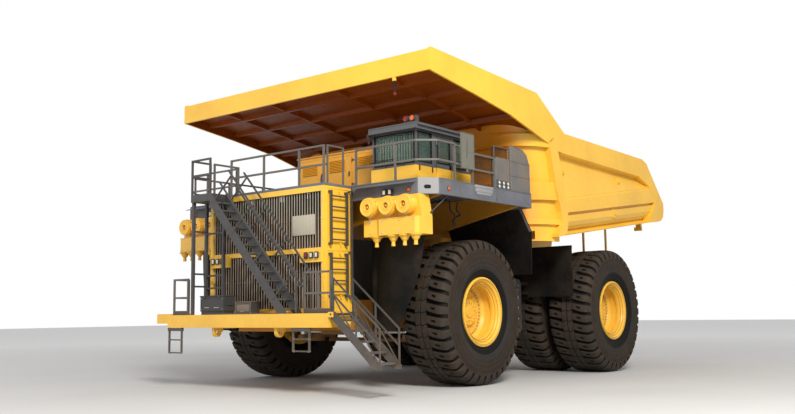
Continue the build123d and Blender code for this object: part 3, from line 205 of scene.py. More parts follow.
def shaded_under_sheet(material, shade, side_x, front_y, lines, soft=0.002):
    """Darkens paint with painted shade under a sheet that slopes down towards the rear.

    side_x and front_y keep the edges clean; lines are (height at the front, slope) of the sheet's middle.
    soft is how far in from side_x the shade takes to reach its full depth.
    """
    tree = material.node_tree
    shader = tree.nodes["Principled BSDF"]
    paint = shader.inputs["Base Color"].links[0].from_socket
    split = tree.nodes.new("ShaderNodeSeparateXYZ")
    tree.links.new(tree.nodes.new("ShaderNodeTexCoord").outputs["Object"], split.inputs["Vector"])
    x, y, z = (split.outputs[axis] for axis in "XYZ")
    run = maths(tree, "SUBTRACT", y, front_y)
    first, second = (maths(tree, "MULTIPLY_ADD", run, slope, height) for height, slope in lines)
    under = maths(tree, "LESS_THAN", z, maths(tree, "MINIMUM", first, second))
    depth = maths(tree, "DIVIDE", maths(tree, "SUBTRACT", side_x, maths(tree, "ABSOLUTE", x)), soft)
    inside = maths(tree, "MAXIMUM", maths(tree, "MINIMUM", depth, 1.0), 0.0)
    behind = maths(tree, "GREATER_THAN", run, 0.072)
    covered = maths(tree, "MULTIPLY", maths(tree, "MULTIPLY", under, inside), behind)
    # Painted shade: the paint is multiplied by the shade colour wherever the point lies under the sheet.
    mix = tree.nodes.new("ShaderNodeMix")
    mix.data_type, mix.blend_type = "RGBA", "MULTIPLY"
    tree.links.new(covered, mix.inputs["Factor"])
    tree.links.new(paint, mix.inputs[6])
    mix.inputs[7].default_value = (*shade, 1.0)
    tree.links.new(mix.outputs[2], shader.inputs["Base Color"])
    return material


def deck_plated(name, colour):
    """Dark deck paint with a raised lozenge tread and worn, dusty high spots."""
    material, tree, shader = new_finish(name, colour, 0.55)
    coords = tree.nodes.new("ShaderNodeTexCoord").outputs["Object"]
    split = tree.nodes.new("ShaderNodeSeparateXYZ")
    tree.links.new(coords, split.inputs["Vector"])
    x, y = split.outputs["X"], split.outputs["Y"]
    pitch = 2 * pi / 0.06
    across = maths(tree, "SINE", maths(tree, "MULTIPLY", maths(tree, "ADD", x, y), pitch))
    along = maths(tree, "SINE", maths(tree, "MULTIPLY", maths(tree, "SUBTRACT", x, y), pitch))
    lozenge = maths(tree, "MAXIMUM", maths(tree, "MULTIPLY", across, along), 0.0)
    patches = noise(tree, coords, 1.4, 6.0, 0.65)
    worn = tuple(min(1.0, c * 1.7 + 0.02) for c in colour) + (1.0,)
    tree.links.new(blend(tree, ramp(tree, patches, grey(0.0), grey(0.55), 0.4, 0.75), (*colour, 1.0), worn),
                   shader.inputs["Base Color"])
    tree.links.new(ramp(tree, patches, grey(0.45), grey(0.7), 0.3, 0.7), shader.inputs["Roughness"])
    bumped(tree, shader, lozenge, 0.35, 0.006)
    return material


def perforated(name, colour, hole, pitch):
    """Painted sheet punched with staggered rows of round holes."""
    material, tree, shader = new_finish(name, colour, 0.5)
    coords = tree.nodes.new("ShaderNodeTexCoord").outputs["Object"]
    split = tree.nodes.new("ShaderNodeSeparateXYZ")
    tree.links.new(coords, split.inputs["Vector"])
    turn = 2 * pi / pitch
    wave_y = maths(tree, "COSINE", maths(tree, "MULTIPLY", split.outputs["Y"], turn))
    wave_z = maths(tree, "COSINE", maths(tree, "MULTIPLY", split.outputs["Z"], turn))
    holes = ramp(tree, maths(tree, "MULTIPLY", wave_y, wave_z), grey(0.0), grey(1.0), 0.45, 0.6)
    patches = noise(tree, coords, 3.0, 5.0, 0.6)
    base = blend(tree, ramp(tree, patches, grey(0.0), grey(0.5), 0.35, 0.7), (*colour, 1.0), DUST)
    tree.links.new(blend(tree, holes, base, (*hole, 1.0)), shader.inputs["Base Color"])
    bumped(tree, shader, holes, -0.4, 0.005)
    return material


def finned(name, colour, dusty, pitch):
    """A radiator's core: close upright fins, rusty and dusty, with painted shade between the fins."""
    material, tree, shader = new_finish(name, colour, 0.75)
    coords = tree.nodes.new("ShaderNodeTexCoord").outputs["Object"]
    split = tree.nodes.new("ShaderNodeSeparateXYZ")
    tree.links.new(coords, split.inputs["Vector"])
    fins = maths(tree, "SINE", maths(tree, "MULTIPLY", split.outputs["Z"], 2 * pi / pitch))
    patches = noise(tree, coords, 2.0, 6.0, 0.65)
    base = blend(tree, ramp(tree, patches, grey(0.0), grey(1.0), 0.35, 0.7), (*colour, 1.0), (*dusty, 1.0))
    # Painted shade: dark stripes between the fins.
    shade = ramp(tree, fins, grey(0.0), grey(0.6), 0.3, 0.9)
    tree.links.new(blend(tree, shade, base, grey(0.005)), shader.inputs["Base Color"])
    bumped(tree, shader, fins, 0.5, 0.01)
    return material


def rubber(name, colour, dusty, scale=3.0, roughness=0.8):
    """Dusty rubber with a fine mottled grain."""
    material, tree, shader = new_finish(name, colour, roughness)
    shader.inputs["Specular IOR Level"].default_value = 0.12
    coords = tree.nodes.new("ShaderNodeTexCoord").outputs["Object"]
    mottle = noise(tree, coords, scale, 8.0, 0.65)
    fine = noise(tree, coords, 55.0, 4.0, 0.6)
    share = ramp(tree, mottle, grey(0.0), grey(1.0), 0.38, 0.72)
    tree.links.new(blend(tree, share, (*colour, 1.0), (*dusty, 1.0)), shader.inputs["Base Color"])
    tree.links.new(ramp(tree, fine, grey(roughness - 0.12), grey(roughness + 0.12), 0.3, 0.7),
                   shader.inputs["Roughness"])
    bumped(tree, shader, fine, 0.25, 0.01)
    return material


def tyre_finish(name, tread, wall, inner, clay):
    """Tyre rubber: dusty lug tops, grooves darkened with their depth as painted shade, a brown sidewall and
    a cooler ring round the rim.

    The tyres turn, so the rings follow the distance from each axle, not the height over the ground.
    """
    material, tree, shader = new_finish(name, tread, 0.8)
    shader.inputs["Specular IOR Level"].default_value = 0.22
    coords = tree.nodes.new("ShaderNodeTexCoord").outputs["Object"]
    kept = {}
    for label in ("reach", "sunk"):
        node = tree.nodes.new("ShaderNodeAttribute")
        node.attribute_name = label
        kept[label] = node.outputs["Fac"]
    radius = kept["reach"]
    mottle = ramp(tree, noise(tree, coords, 2.2, 8.0, 0.65), grey(0.0), grey(1.0), 0.38, 0.70)
    fine = noise(tree, coords, 40.0, 5.0, 0.6)
    top = blend(tree, mottle, (*tread, 1.0), (*clay, 1.0))
    side = blend(tree, ramp(tree, radius, grey(0.0), grey(1.0), 0.54, 0.72), (*inner, 1.0), (*wall, 1.0))
    side = blend(tree, maths(tree, "MULTIPLY", mottle, 0.5), side, (*clay, 1.0))
    rings = maths(tree, "SINE", maths(tree, "MULTIPLY", radius, 95.0))
    side = blend(tree, ramp(tree, rings, grey(0.0), grey(0.35), 0.55, 1.0), side, grey(0.004))
    base = blend(tree, ramp(tree, radius, grey(1.0), grey(0.0), 0.845, 0.875), top, side)
    # Painted shade: the deeper a point lies in the tread's grooves, the nearer to black it is painted.
    base = blend(tree, ramp(tree, kept["sunk"], grey(0.0), grey(0.93), 0.05, 0.75), base,
                 (0.003, 0.0026, 0.0022, 1.0))
    tree.links.new(base, shader.inputs["Base Color"])
    tree.links.new(ramp(tree, fine, grey(0.58), grey(0.9), 0.3, 0.7), shader.inputs["Roughness"])
    bumped(tree, shader, fine, 0.35, 0.012)
    return material


def bar_finish(name, face, flank, high, face_y, high_z):
    """Flat bars with worn, dusty front edges; their sides are dark red-brown, partly the rust of the core
    behind them and partly painted shade between the bars.
    """
    material, tree, shader = new_finish(name, face, 0.6)
    shader.inputs["Specular IOR Level"].default_value = 0.25
    coords = tree.nodes.new("ShaderNodeTexCoord").outputs["Object"]
    split = tree.nodes.new("ShaderNodeSeparateXYZ")
    tree.links.new(coords, split.inputs["Vector"])
    patches = noise(tree, stretched(tree, coords, (9.0, 9.0, 1.2)), 1.3, 5.0, 0.6)
    light = blend(tree, ramp(tree, patches, grey(0.0), grey(0.8), 0.4, 0.7), (*face, 1.0),
                  tuple(c * 0.6 for c in face) + (1.0,))
    # The bars' sides: partly rust from the core, partly painted shade between the bars; darker still above
    # high_z.
    low = blend(tree, ramp(tree, patches, grey(0.0), grey(1.0), 0.4, 0.75), (*flank, 1.0),
                tuple(c * 0.45 for c in flank) + (1.0,))
    dark = blend(tree, maths(tree, "GREATER_THAN", split.outputs["Z"], high_z), low, (*high, 1.0))
    behind = maths(tree, "GREATER_THAN", split.outputs["Y"], face_y)
    tree.links.new(blend(tree, behind, light, dark), shader.inputs["Base Color"])
    bumped(tree, shader, patches, 0.1, 0.004)
    return material


def glazed(name, colour, alpha, roughness=0.06):
    """Tinted safety glass with faint streaks of haze, which lets some of the inside through."""
    material, tree, shader = new_finish(name, colour, roughness)
    shader.inputs["Alpha"].default_value = alpha
    shader.inputs["Specular IOR Level"].default_value = 0.35
    coords = tree.nodes.new("ShaderNodeTexCoord").outputs["Object"]
    haze = noise(tree, stretched(tree, coords, (7.0, 7.0, 0.6)), 1.5, 3.0)
    tree.links.new(ramp(tree, haze, grey(0.03), grey(0.2), 0.35, 0.75), shader.inputs["Roughness"])
    streak = tuple(min(1.0, c * 1.8 + 0.03) for c in colour) + (1.0,)
    tree.links.new(blend(tree, ramp(tree, haze, grey(0.0), grey(0.8), 0.42, 0.72), (*colour, 1.0), streak),
                   shader.inputs["Base Color"])
    return material


def lens(name, colour, pitch=0.012):
    """A lamp's lens with fine ribs behind a glossy face."""
    material, tree, shader = new_finish(name, colour, 0.12)
    shader.inputs["Coat Weight"].default_value = 0.15
    coords = tree.nodes.new("ShaderNodeTexCoord").outputs["Object"]
    split = tree.nodes.new("ShaderNodeSeparateXYZ")
    tree.links.new(coords, split.inputs["Vector"])
    turn = 2 * pi / pitch
    ribs = maths(tree, "ADD", maths(tree, "SINE", maths(tree, "MULTIPLY", split.outputs["Z"], turn)),
                 maths(tree, "SINE", maths(tree, "MULTIPLY", split.outputs["X"], turn)))
    darker = tuple(c * 0.6 for c in colour) + (1.0,)
    tree.links.new(blend(tree, ramp(tree, ribs, grey(0.0), grey(1.0), 0.0, 1.0), darker, (*colour, 1.0)),
                   shader.inputs["Base Color"])
    bumped(tree, shader, ribs, 0.2, 0.002)
    return material


def metal(name, colour, roughness, scale=12.0):
    """Bare or plated metal with scuffs in its gloss."""
    material, tree, shader = new_finish(name, colour, roughness, 0.9)
    coords = tree.nodes.new("ShaderNodeTexCoord").outputs["Object"]
    scuffs = noise(tree, coords, scale, 6.0, 0.6)
    dull = tuple(c * 0.7 for c in colour) + (1.0,)
    tree.links.new(blend(tree, ramp(tree, scuffs, grey(0.0), grey(1.0), 0.4, 0.7), (*colour, 1.0), dull),
                   shader.inputs["Base Color"])
    tree.links.new(ramp(tree, scuffs, grey(roughness), grey(roughness + 0.25), 0.35, 0.75),
                   shader.inputs["Roughness"])
    return material


YELLOW = (0.90, 0.52, 0.045)
SLATE = (0.085, 0.088, 0.095)
yellow_paint = painted("warm yellow paint", YELLOW, coat=0.15)
wheel_paint = painted("wheel yellow paint", YELLOW, dust=0.35, dust_top=3.5)
slate_paint = painted("slate grey paint", SLATE, roughness=0.45, dust=0.25)
door_paint = painted("two-tone door paint", SLATE, roughness=0.45, dust=0.2, lower=(5.86, YELLOW))
deck_paint = deck_plated("deck tread paint", (0.10, 0.105, 0.12))
panel_paint = perforated("punched guard sheet", (0.13, 0.135, 0.14), (0.012, 0.012, 0.014), 0.08)
rail_paint = painted("railing grey paint", (0.115, 0.11, 0.10), roughness=0.5, dust=0.3)
stair_paint = painted("stair charcoal paint", (0.05, 0.05, 0.052), roughness=0.5, dust=0.4)
# Dark sides of the bars: rust and painted shade between them.
bar_paint = bar_finish("grille bar paint", (0.36, 0.32, 0.25), (0.060, 0.020, 0.012), (0.010, 0.011, 0.010),
                       -7.318, 4.66)
axle_paint = painted("greasy axle paint", (0.33, 0.17, 0.035), roughness=0.55, dust=0.7, dust_top=3.5)
box_paint = painted("dark box paint", (0.035, 0.036, 0.040), roughness=0.55, dust=0.2)
small_box_paint = painted("brown-grey box paint", (0.16, 0.125, 0.09), roughness=0.5, dust=0.3)
# Painted shade, for the rim's grooves and the air cleaners' recesses.
shade_paint = painted("shaded yellow paint", (0.36, 0.14, 0.006), roughness=0.5, dust=0.3)
worn_paint = painted("worn tread paint", (0.085, 0.083, 0.078), roughness=0.45, dust=0.3)
deck_edge_paint = painted("deck edge paint", (0.12, 0.125, 0.135), roughness=0.45, dust=0.15)
core_finish = finned("rusty radiator core", (0.055, 0.02, 0.010), (0.10, 0.05, 0.025), 0.035)
engine_finish = painted("oily engine casting", (0.03, 0.028, 0.025), roughness=0.6, dust=0.5)
tyre_rubber = tyre_finish("dusty tyre rubber", (0.033, 0.027, 0.022), (0.027, 0.019, 0.013),
                          (0.024, 0.026, 0.027),
                          (0.055, 0.037, 0.024))
flap_rubber = rubber("black flap rubber", (0.006, 0.006, 0.006), (0.026, 0.019, 0.013), 1.2, 0.65)
gasket_rubber = rubber("window gasket rubber", (0.008, 0.008, 0.008), (0.014, 0.013, 0.012), 6.0, 0.6)
hose_rubber = rubber("black hose rubber", (0.010, 0.010, 0.011), (0.02, 0.018, 0.016), 9.0, 0.45)
chrome = metal("bright rod chrome", (0.7, 0.7, 0.7), 0.1)
zinc = metal("zinc-plated steel", (0.55, 0.55, 0.53), 0.35, 30.0)
lamp_paint = painted("lamp housing paint", (0.055, 0.055, 0.055), roughness=0.35, dust=0.1)
mirror_paint = painted("mirror housing plastic", (0.15, 0.152, 0.125), roughness=0.5, dust=0.1)
trim_plastic = painted("dark cab trim", (0.02, 0.02, 0.02), roughness=0.7, dust=0.05)
blind_cloth = painted("sun blind cloth", (0.52, 0.58, 0.46), roughness=0.9, dust=0.0)
silver_paint = painted("silver step paint", (0.27, 0.28, 0.29), roughness=0.4, dust=0.1)
plate_paint = painted("blank plate enamel", (0.42, 0.39, 0.31), roughness=0.3, dust=0.1)
cab_glass = glazed("green tinted glass", (0.060, 0.105, 0.085), 0.36)
white_lens = lens("clear lamp lens", (0.85, 0.85, 0.82))
red_lens = lens("red lamp lens", (0.30, 0.005, 0.004))
amber_lens = lens("amber lamp lens", (0.85, 0.15, 0.004))
mesh_finish = metal("rusty screen mesh", (0.12, 0.07, 0.04), 0.6)

# Painted shade: under the canopy's sloping sheet, its underside and stiffeners are darkened to a deep
# red-brown.
canopy_paint = shaded_under_sheet(painted("canopy yellow paint", YELLOW), (0.32, 0.11, 0.010), 4.862, -6.31,
                      ((8.435, -0.1429), (8.915, -0.27)))
# Painted shade: the middle of the bed's front wall is darkened to orange-brown and fades out towards its
# sides, as shade under the canopy.
bed_wall_paint = shaded_under_sheet(painted("bed front wall paint", YELLOW), (1.0, 0.64, 0.25), 4.6, -9.0,
                        ((99.0, 0.0), (99.0, 0.0)), 0.5)
# Painted shade: the frame and the deck's supports get a deeper orange-brown, for the shade under the truck.
shaded_frame_paint = painted("frame paint with painted shade", (0.52, 0.22, 0.012), roughness=0.5, dust=0.4)
# Painted shade: the control cabinet is a deeper orange, for the shade of the canopy over it.
cabinet_shade_paint = painted("cabinet paint with painted shade", (0.72, 0.34, 0.02), roughness=0.42, dust=0.2)

finish_of_slot = {
    "yellow_paint": yellow_paint,
    "rim_paint": wheel_paint,
    "stair_paint": stair_paint,
    "rail_paint": rail_paint,
    "cab_paint": slate_paint,
    "deck_paint": deck_paint,
    "grille_paint": bar_paint,
    "cab_glass": cab_glass,
    "cab_trim": trim_plastic,
    "black_box": box_paint,
    "engine_metal": engine_finish,
    "axle_metal": axle_paint,
    "rod_chrome": chrome,
    "flap_rubber": flap_rubber,
    "tyre_rubber": tyre_rubber,
    "lamp_housing": lamp_paint,
    "mirror_housing": mirror_paint,
    "core_metal": core_finish,
}
finish_of_node = {
    "cab_door": door_paint,
    "side_guard_panels": panel_paint,
    "ladders": stair_paint,
    "bed_canopy": canopy_paint,
    "bed_front_wall": bed_wall_paint,
    "deck_supports": shaded_frame_paint,
    "chassis_frame": shaded_frame_paint,
    "control_cabinet": cabinet_shade_paint,
}
slot_of_node = {part["node"]: part["material_slot"] for part in frame["record"]["subparts"]}
for name, node in nodes.items():
    finish = finish_of_node.get(name, finish_of_slot[slot_of_node[name]])
    node.data.materials.clear()
    node.data.materials.append(finish)


# ---- Shape helpers ------------------------------------------------------------------------------
def add_box(shape, low, high, round_off=0.0):
    """Adds a box between two corners, its edges rounded off."""
    low, high = Vector(low), Vector(high)
    place = Matrix.Translation((low + high) / 2) @ Matrix.Diagonal((*(high - low), 1.0))
    made = bmesh.ops.create_cube(shape, size=1.0, matrix=place)
    if round_off:
        edges = list({edge for vert in made["verts"] for edge in vert.link_edges})
        bmesh.ops.bevel(shape, geom=edges, offset=round_off, segments=2, profile=0.5, affect="EDGES")


def add_rod(shape, start, end, radius, tip=None, steps=16):
    """Adds a round bar between two points, tapering to another radius if one is given."""
    start, end = Vector(start), Vector(end)
    turn = (end - start).to_track_quat("Z", "Y").to_matrix().to_4x4()
    bmesh.ops.create_cone(shape, cap_ends=True, segments=steps, radius1=radius,
                          radius2=radius if tip is None else tip, depth=(end - start).length,
                          matrix=Matrix.Translation((start + end) / 2) @ turn)


def add_turned(shape, profile, start, axis, steps=32):
    """Adds a closed outline of (distance along the axis, radius) points, turned about the axis."""
    axis = Vector(axis).normalized()
    across = axis.orthogonal().normalized()
    upright = axis.cross(across)
    rings = []
    for along, radius in profile:
        centre = Vector(start) + axis * along
        if radius < 1e-6:
            rings.append([shape.verts.new(centre)])
            continue
        angles = [2 * pi * k / steps for k in range(steps)]
        rings.append([shape.verts.new(centre + (across * cos(a) + upright * sin(a)) * radius)
                      for a in angles])
    for low, high in zip(rings, rings[1:]):
        for k in range(steps):
            corners = [low[k % len(low)], low[(k + 1) % len(low)], high[(k + 1) % len(high)],
                       high[k % len(high)]]
            shape.faces.new(list(dict.fromkeys(corners)))
    for ring in (rings[0], rings[-1]):
        if len(ring) > 1:
            shape.faces.new(ring)


def add_tube(shape, points, radius, steps=8):
    """Adds a round tube along a run of points."""
    points = [Vector(p) for p in points]
    ahead = (points[1] - points[0]).normalized()
    across = ahead.orthogonal().normalized()
    rings = []
    for i, point in enumerate(points):
        before = (point - points[i - 1]).normalized() if i else ahead
        after = (points[i + 1] - point).normalized() if i + 1 < len(points) else before
        turned = (before + after).normalized()
        across = (across - turned * across.dot(turned)).normalized()
        upright = turned.cross(across)
        angles = [2 * pi * k / steps for k in range(steps)]
        rings.append([shape.verts.new(point + (across * cos(a) + upright * sin(a)) * radius)
                      for a in angles])
    for low, high in zip(rings, rings[1:]):
        for k in range(steps):
            shape.faces.new([low[k], low[(k + 1) % steps], high[(k + 1) % steps], high[k]])
    shape.faces.new(list(reversed(rings[0])))
    shape.faces.new(rings[-1])


def add_outline(shape, points, thickness):
    """Adds a flat outline of 3-D points, given a thickness along a vector."""
    face = shape.faces.new([shape.verts.new(p) for p in points])
    made = bmesh.ops.extrude_face_region(shape, geom=[face])
    moved = [part for part in made["geom"] if isinstance(part, bmesh.types.BMVert)]
    bmesh.ops.translate(shape, verts=moved, vec=Vector(thickness))


def add_frame_x(shape, x0, x1, y0, y1, z0, z1, width):
    """Adds a rectangular frame in a plane across X, its strips as wide as width, outside the opening."""
    add_box(shape, (x0, y0 - width, z0 - width), (x1, y1 + width, z0))
    add_box(shape, (x0, y0 - width, z1), (x1, y1 + width, z1 + width))
    add_box(shape, (x0, y0 - width, z0), (x1, y0, z1))
    add_box(shape, (x0, y1, z0), (x1, y1 + width, z1))


def add_frame_y(shape, y0, y1, x0, x1, z0, z1, width):
    """Adds a rectangular frame in a plane across Y, its strips as wide as width, outside the opening."""
    add_box(shape, (x0 - width, y0, z0 - width), (x1 + width, y1, z0))
    add_box(shape, (x0 - width, y0, z1), (x1 + width, y1, z1 + width))
    add_box(shape, (x0 - width, y0, z0), (x0, y1, z1))
    add_box(shape, (x1, y0, z0), (x1 + width, y1, z1))


def smoothed(points, steps=6):
    """A run of points rounded into a flowing line through them."""
    points = [Vector(p) for p in points]
    ends = [points[0] * 2 - points[1], *points, points[-1] * 2 - points[-2]]
    line = []
    for p0, p1, p2, p3 in zip(ends, ends[1:], ends[2:], ends[3:]):
        for k in range(steps):
            t = k / steps
            line.append((p1 * 2 + (p2 - p0) * t + (p0 * 2 - p1 * 5 + p2 * 4 - p3) * t * t
                         + (p1 * 3 - p0 - p2 * 3 + p3) * t * t * t) / 2)
    return line + [points[-1]]


def finished(name, mesh, finish, body, crease=32):
    """Links a piece, shades it smooth up to a crease angle, and sets its finish and body."""
    mesh.materials.clear()
    mesh.materials.append(finish)
    mesh.shade_smooth()
    mesh.set_sharp_from_angle(angle=radians(crease))
    piece = bpy.data.objects.new(name, mesh)
    bpy.context.collection.objects.link(piece)
    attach(piece, body)
    return piece


def to_mesh(name, shape):
    """The mesh of a finished shape, its faces pointing outwards."""
    bmesh.ops.recalc_face_normals(shape, faces=shape.faces)
    mesh = bpy.data.meshes.new(name)
    shape.to_mesh(mesh)
    shape.free()
    return mesh


def piece(name, shape, finish, body, slot, crease=32):
    """A piece made of one shape."""
    return finished(name, to_mesh(name, shape), finish, body, crease)


# ---- Repeats ------------------------------------------------------------------------------------
def make_run_tree():
    """Geometry Nodes that copy a mesh along a straight run, or round a line along X, and weld the copies."""
    tree = bpy.data.node_groups.new("copies_in_a_run", "GeometryNodeTree")
    ports = tree.interface
    ports.new_socket("Item", in_out="INPUT", socket_type="NodeSocketGeometry")
    for label, kind in (("Count", "Int"), ("Start", "Vector"), ("Step", "Vector"), ("Turn", "Float"),
                        ("Finish", "Material")):
        ports.new_socket(label, in_out="INPUT", socket_type="NodeSocket" + kind)
    ports.new_socket("Copies", in_out="OUTPUT", socket_type="NodeSocketGeometry")
    enter, leave = tree.nodes.new("NodeGroupInput"), tree.nodes.new("NodeGroupOutput")
    line = tree.nodes.new("GeometryNodeMeshLine")
    order = tree.nodes.new("GeometryNodeInputIndex")
    angle = tree.nodes.new("ShaderNodeMath")
    angle.operation = "MULTIPLY"
    turn = tree.nodes.new("ShaderNodeCombineXYZ")
    spread = tree.nodes.new("GeometryNodeInstanceOnPoints")
    whole = tree.nodes.new("GeometryNodeRealizeInstances")
    weld = tree.nodes.new("GeometryNodeMergeByDistance")
    weld.inputs["Distance"].default_value = 0.0004
    coat = tree.nodes.new("GeometryNodeSetMaterial")
    link = tree.links.new
    link(enter.outputs["Count"], line.inputs["Count"])
    link(enter.outputs["Start"], line.inputs["Start Location"])
    link(enter.outputs["Step"], line.inputs["Offset"])
    link(order.outputs["Index"], angle.inputs[0])
    link(enter.outputs["Turn"], angle.inputs[1])
    link(angle.outputs["Value"], turn.inputs["X"])
    link(line.outputs["Mesh"], spread.inputs["Points"])
    link(enter.outputs["Item"], spread.inputs["Instance"])
    link(turn.outputs["Vector"], spread.inputs["Rotation"])
    link(spread.outputs["Instances"], whole.inputs["Geometry"])
    link(whole.outputs["Geometry"], weld.inputs["Geometry"])
    link(weld.outputs["Geometry"], coat.inputs["Geometry"])
    link(enter.outputs["Finish"], coat.inputs["Material"])
    link(coat.outputs["Geometry"], leave.inputs["Copies"])
    return tree


run_tree = make_run_tree()
port_of = {port.name: port.identifier for port in run_tree.interface.items_tree if port.in_out == "INPUT"}


def copies(name, item, count, start, step=(0, 0, 0), turn=0.0, finish=None):
    """The plain mesh of an item's copies in a run; each is moved by step and turned about X by turn."""
    maker = bpy.data.objects.new(name, item)
    bpy.context.collection.objects.link(maker)
    modifier = maker.modifiers.new("copies", "NODES")
    modifier.node_group = run_tree
    settings = {"Count": count, "Start": start, "Step": step, "Turn": turn, "Finish": finish}
    for label, value in settings.items():
        modifier[port_of[label]] = value
    maker.update_tag()
    seen = maker.evaluated_get(bpy.context.evaluated_depsgraph_get())
    mesh = bpy.data.meshes.new_from_object(seen)
    maker.modifiers.clear()
    bpy.data.objects.remove(maker)
    return mesh


def joined(name, meshes):
    """Several meshes as one."""
    shape = bmesh.new()
    for mesh in meshes:
        shape.from_mesh(mesh)
    whole = bpy.data.meshes.new(name)
    shape.to_mesh(whole)
    shape.free()
    return whole


# ---- Tyres --------------------------------------------------------------------------------------
pitch_angle = 2 * pi / lug_pitches
casing_profile = [  # (share of half the width, radius) from the middle of the tread to the bead
    (0.00, 1.925),
    (0.50, 1.922),
    (0.76, 1.905),
    (0.87, 1.87),
    (0.93, 1.80),
    (0.955, 1.755),
    (0.985, 1.745),
    (0.992, 1.725),
    (0.972, 1.705),
    (0.985, 1.66),
    (0.995, 1.58),
    (1.000, 1.45),
    (0.990, 1.30),
    (0.965, 1.18),
    (0.952, 1.17),
    (0.930, 1.09),
    (0.905, 1.035),
    (0.885, 1.025),
    (0.860, 0.975),
    (0.800, 0.925),
]
# (share of half the width, top radius, foot radius, half the lug's top as a share of the pitch)
lug_stations = [
    (0.255, 2.015, 1.92, 0.27),
    (0.36, 2.015, 1.92, 0.30),
    (0.450, 2.014, 1.918, 0.31),
    (0.458, 2.014, 1.918, 0.31),
    (0.640, 2.008, 1.912, 0.325),
    (0.648, 2.008, 1.912, 0.325),
    (0.76, 1.997, 1.90, 0.33),
    (0.85, 1.976, 1.875, 0.33),
    (0.905, 1.945, 1.84, 0.325),
    (0.955, 1.87, 1.775, 0.31),
    (0.985, 1.765, 1.71, 0.27),
]
slot_stations = (3, 4)  # the stations between which a lug's narrow slot is sunk
slot_depth = 0.045
slot_shares = (0.34, 0.24)  # half the slot's mouth and floor, as shares of half the lug
lug_sweep = 0.52  # how far a lug's outer end lags behind its inner one, as a share of the pitch
# (share of half the width, wave of the rib block's ends)
rib_stations = [(0.022, 0.0), (0.075, 0.07), (0.128, 0.0), (0.182, -0.07), (0.235, 0.0)]
sipe_share = 0.035  # half the cut between two blocks of a rib, as a share of the pitch


def tread_point(shape, share, radius, turn):
    """A corner of the tread; turn is in pitches from the top of the tyre."""
    angle = turn * pitch_angle
    return shape.verts.new((share * half_tyre, -radius * sin(angle), radius * cos(angle)))


def add_skinned(shape, rows):
    """Closes rows of points, each a ring of the same length, into one solid."""
    for low, high in zip(rows, rows[1:]):
        for k, corner in enumerate(low):
            onward = (k + 1) % len(low)
            shape.faces.new([corner, low[onward], high[onward], high[k]])
    shape.faces.new(list(reversed(rows[0])))
    shape.faces.new(rows[-1])


def add_lug(shape, side):
    """One shoulder lug, swept back towards the shoulder, with its narrow slot."""
    first = lug_stations[0][0]
    reach = lug_stations[-1][0] - first
    rows = []
    for i, (share, top, foot, half) in enumerate(lug_stations):
        along = (share - first) / reach
        middle = side * lug_sweep * (along - 0.35 * along * along + 0.05)
        sunk = slot_depth if i in slot_stations else 0.0
        mouth, floor = (half * s for s in slot_shares)
        spread = half + 0.055
        outline = [(-spread, foot), (-half - 0.012, top - 0.02), (-half + 0.012, top), (-mouth, top),
                   (-floor, top - sunk), (floor, top - sunk), (mouth, top), (half - 0.012, top),
                   (half + 0.012, top - 0.02), (spread, foot)]
        rows.append([tread_point(shape, side * share, radius, middle + turn) for turn, radius in outline])
    add_skinned(shape, rows)


def add_rib_block(shape, side):
    """One block of a middle rib, its ends waved, between two thin cuts."""
    rows = []
    reach = 0.5 - sipe_share
    for share, wave in rib_stations:
        ends = [(-reach, 1.915), (-reach, 2.008), (-reach / 3, 2.015), (reach / 3, 2.015), (reach, 2.008),
                (reach, 1.915)]
        rows.append([tread_point(shape, side * share, radius, turn + wave * side) for turn, radius in ends])
    add_skinned(shape, rows)


def tyre_pitch():
    """One pitch of a tyre about the X axis: a slice of casing, two lugs, two rib blocks, a vent stub."""
    shape = bmesh.new()
    half = [(share, radius) for share, radius in casing_profile]
    profile = [(-share, radius) for share, radius in reversed(half)] + half[1:]
    slices = 3
    rows = []
    for k in range(slices + 1):
        rows.append([tread_point(shape, share, radius, k / slices - 0.5) for share, radius in profile])
    for low, high in zip(rows, rows[1:]):
        for k, corner in enumerate(low):
            onward = (k + 1) % len(low)
            shape.faces.new([corner, high[k], high[onward], low[onward]])
    for side in (1, -1):
        add_lug(shape, side)
        add_rib_block(shape, side)
        for share, radius in ((0.965, 1.79), (0.988, 1.685)):
            rise = tread_point(shape, side * (share + 0.02), radius + 0.012, 0.12)
            foot = [tread_point(shape, side * share, radius + dr, 0.12 + dt)
                    for dr, dt in ((-0.014, -0.04), (0.014, -0.04), (0.014, 0.04), (-0.014, 0.04))]
            for a, b in zip(foot, foot[1:] + foot[:1]):
                shape.faces.new([a, b, rise])
            shape.faces.new(foot)
    return to_mesh("tyre_pitch", shape)


def sunk_share(share, radius):
    """How deep a point lies in the tread's grooves: 0 on a lug's top, 1 on the casing."""
    share = abs(share)
    if share > 0.965:
        return 0.0
    tops = [(0.0, tyre_radius), *((along, top) for along, top, _, _ in lug_stations)]
    for (near, high), (far, low) in zip(tops, tops[1:]):
        if near <= share <= far:
            top = high + (low - high) * (share - near) / (far - near)
    return min(1.0, max(0.0, (top - radius - 0.012) / 0.05))


def tyre_mesh(centre):
    """A whole tyre about an axle's point; each point keeps its reach from the axle and its groove."""
    mesh = copies("tyre", tyre_pitch(), lug_pitches, centre, turn=pitch_angle, finish=tyre_rubber)
    spots = [(v.co.x - centre[0], hypot(v.co.y - centre[1], v.co.z - centre[2])) for v in mesh.vertices]
    kept = {
        "reach": [radius / tyre_radius for x, radius in spots],
        "sunk": [sunk_share(x / half_tyre, radius) for x, radius in spots],
    }
    for label, values in kept.items():
        mesh.attributes.new(label, "FLOAT", "POINT").data.foreach_set("value", values)
    return mesh


def joined_tyres(name, centres):
    """Tyres on one body as one mesh, keeping the attributes that the finish reads."""
    return joined(name, [tyre_mesh(centre) for centre in centres])


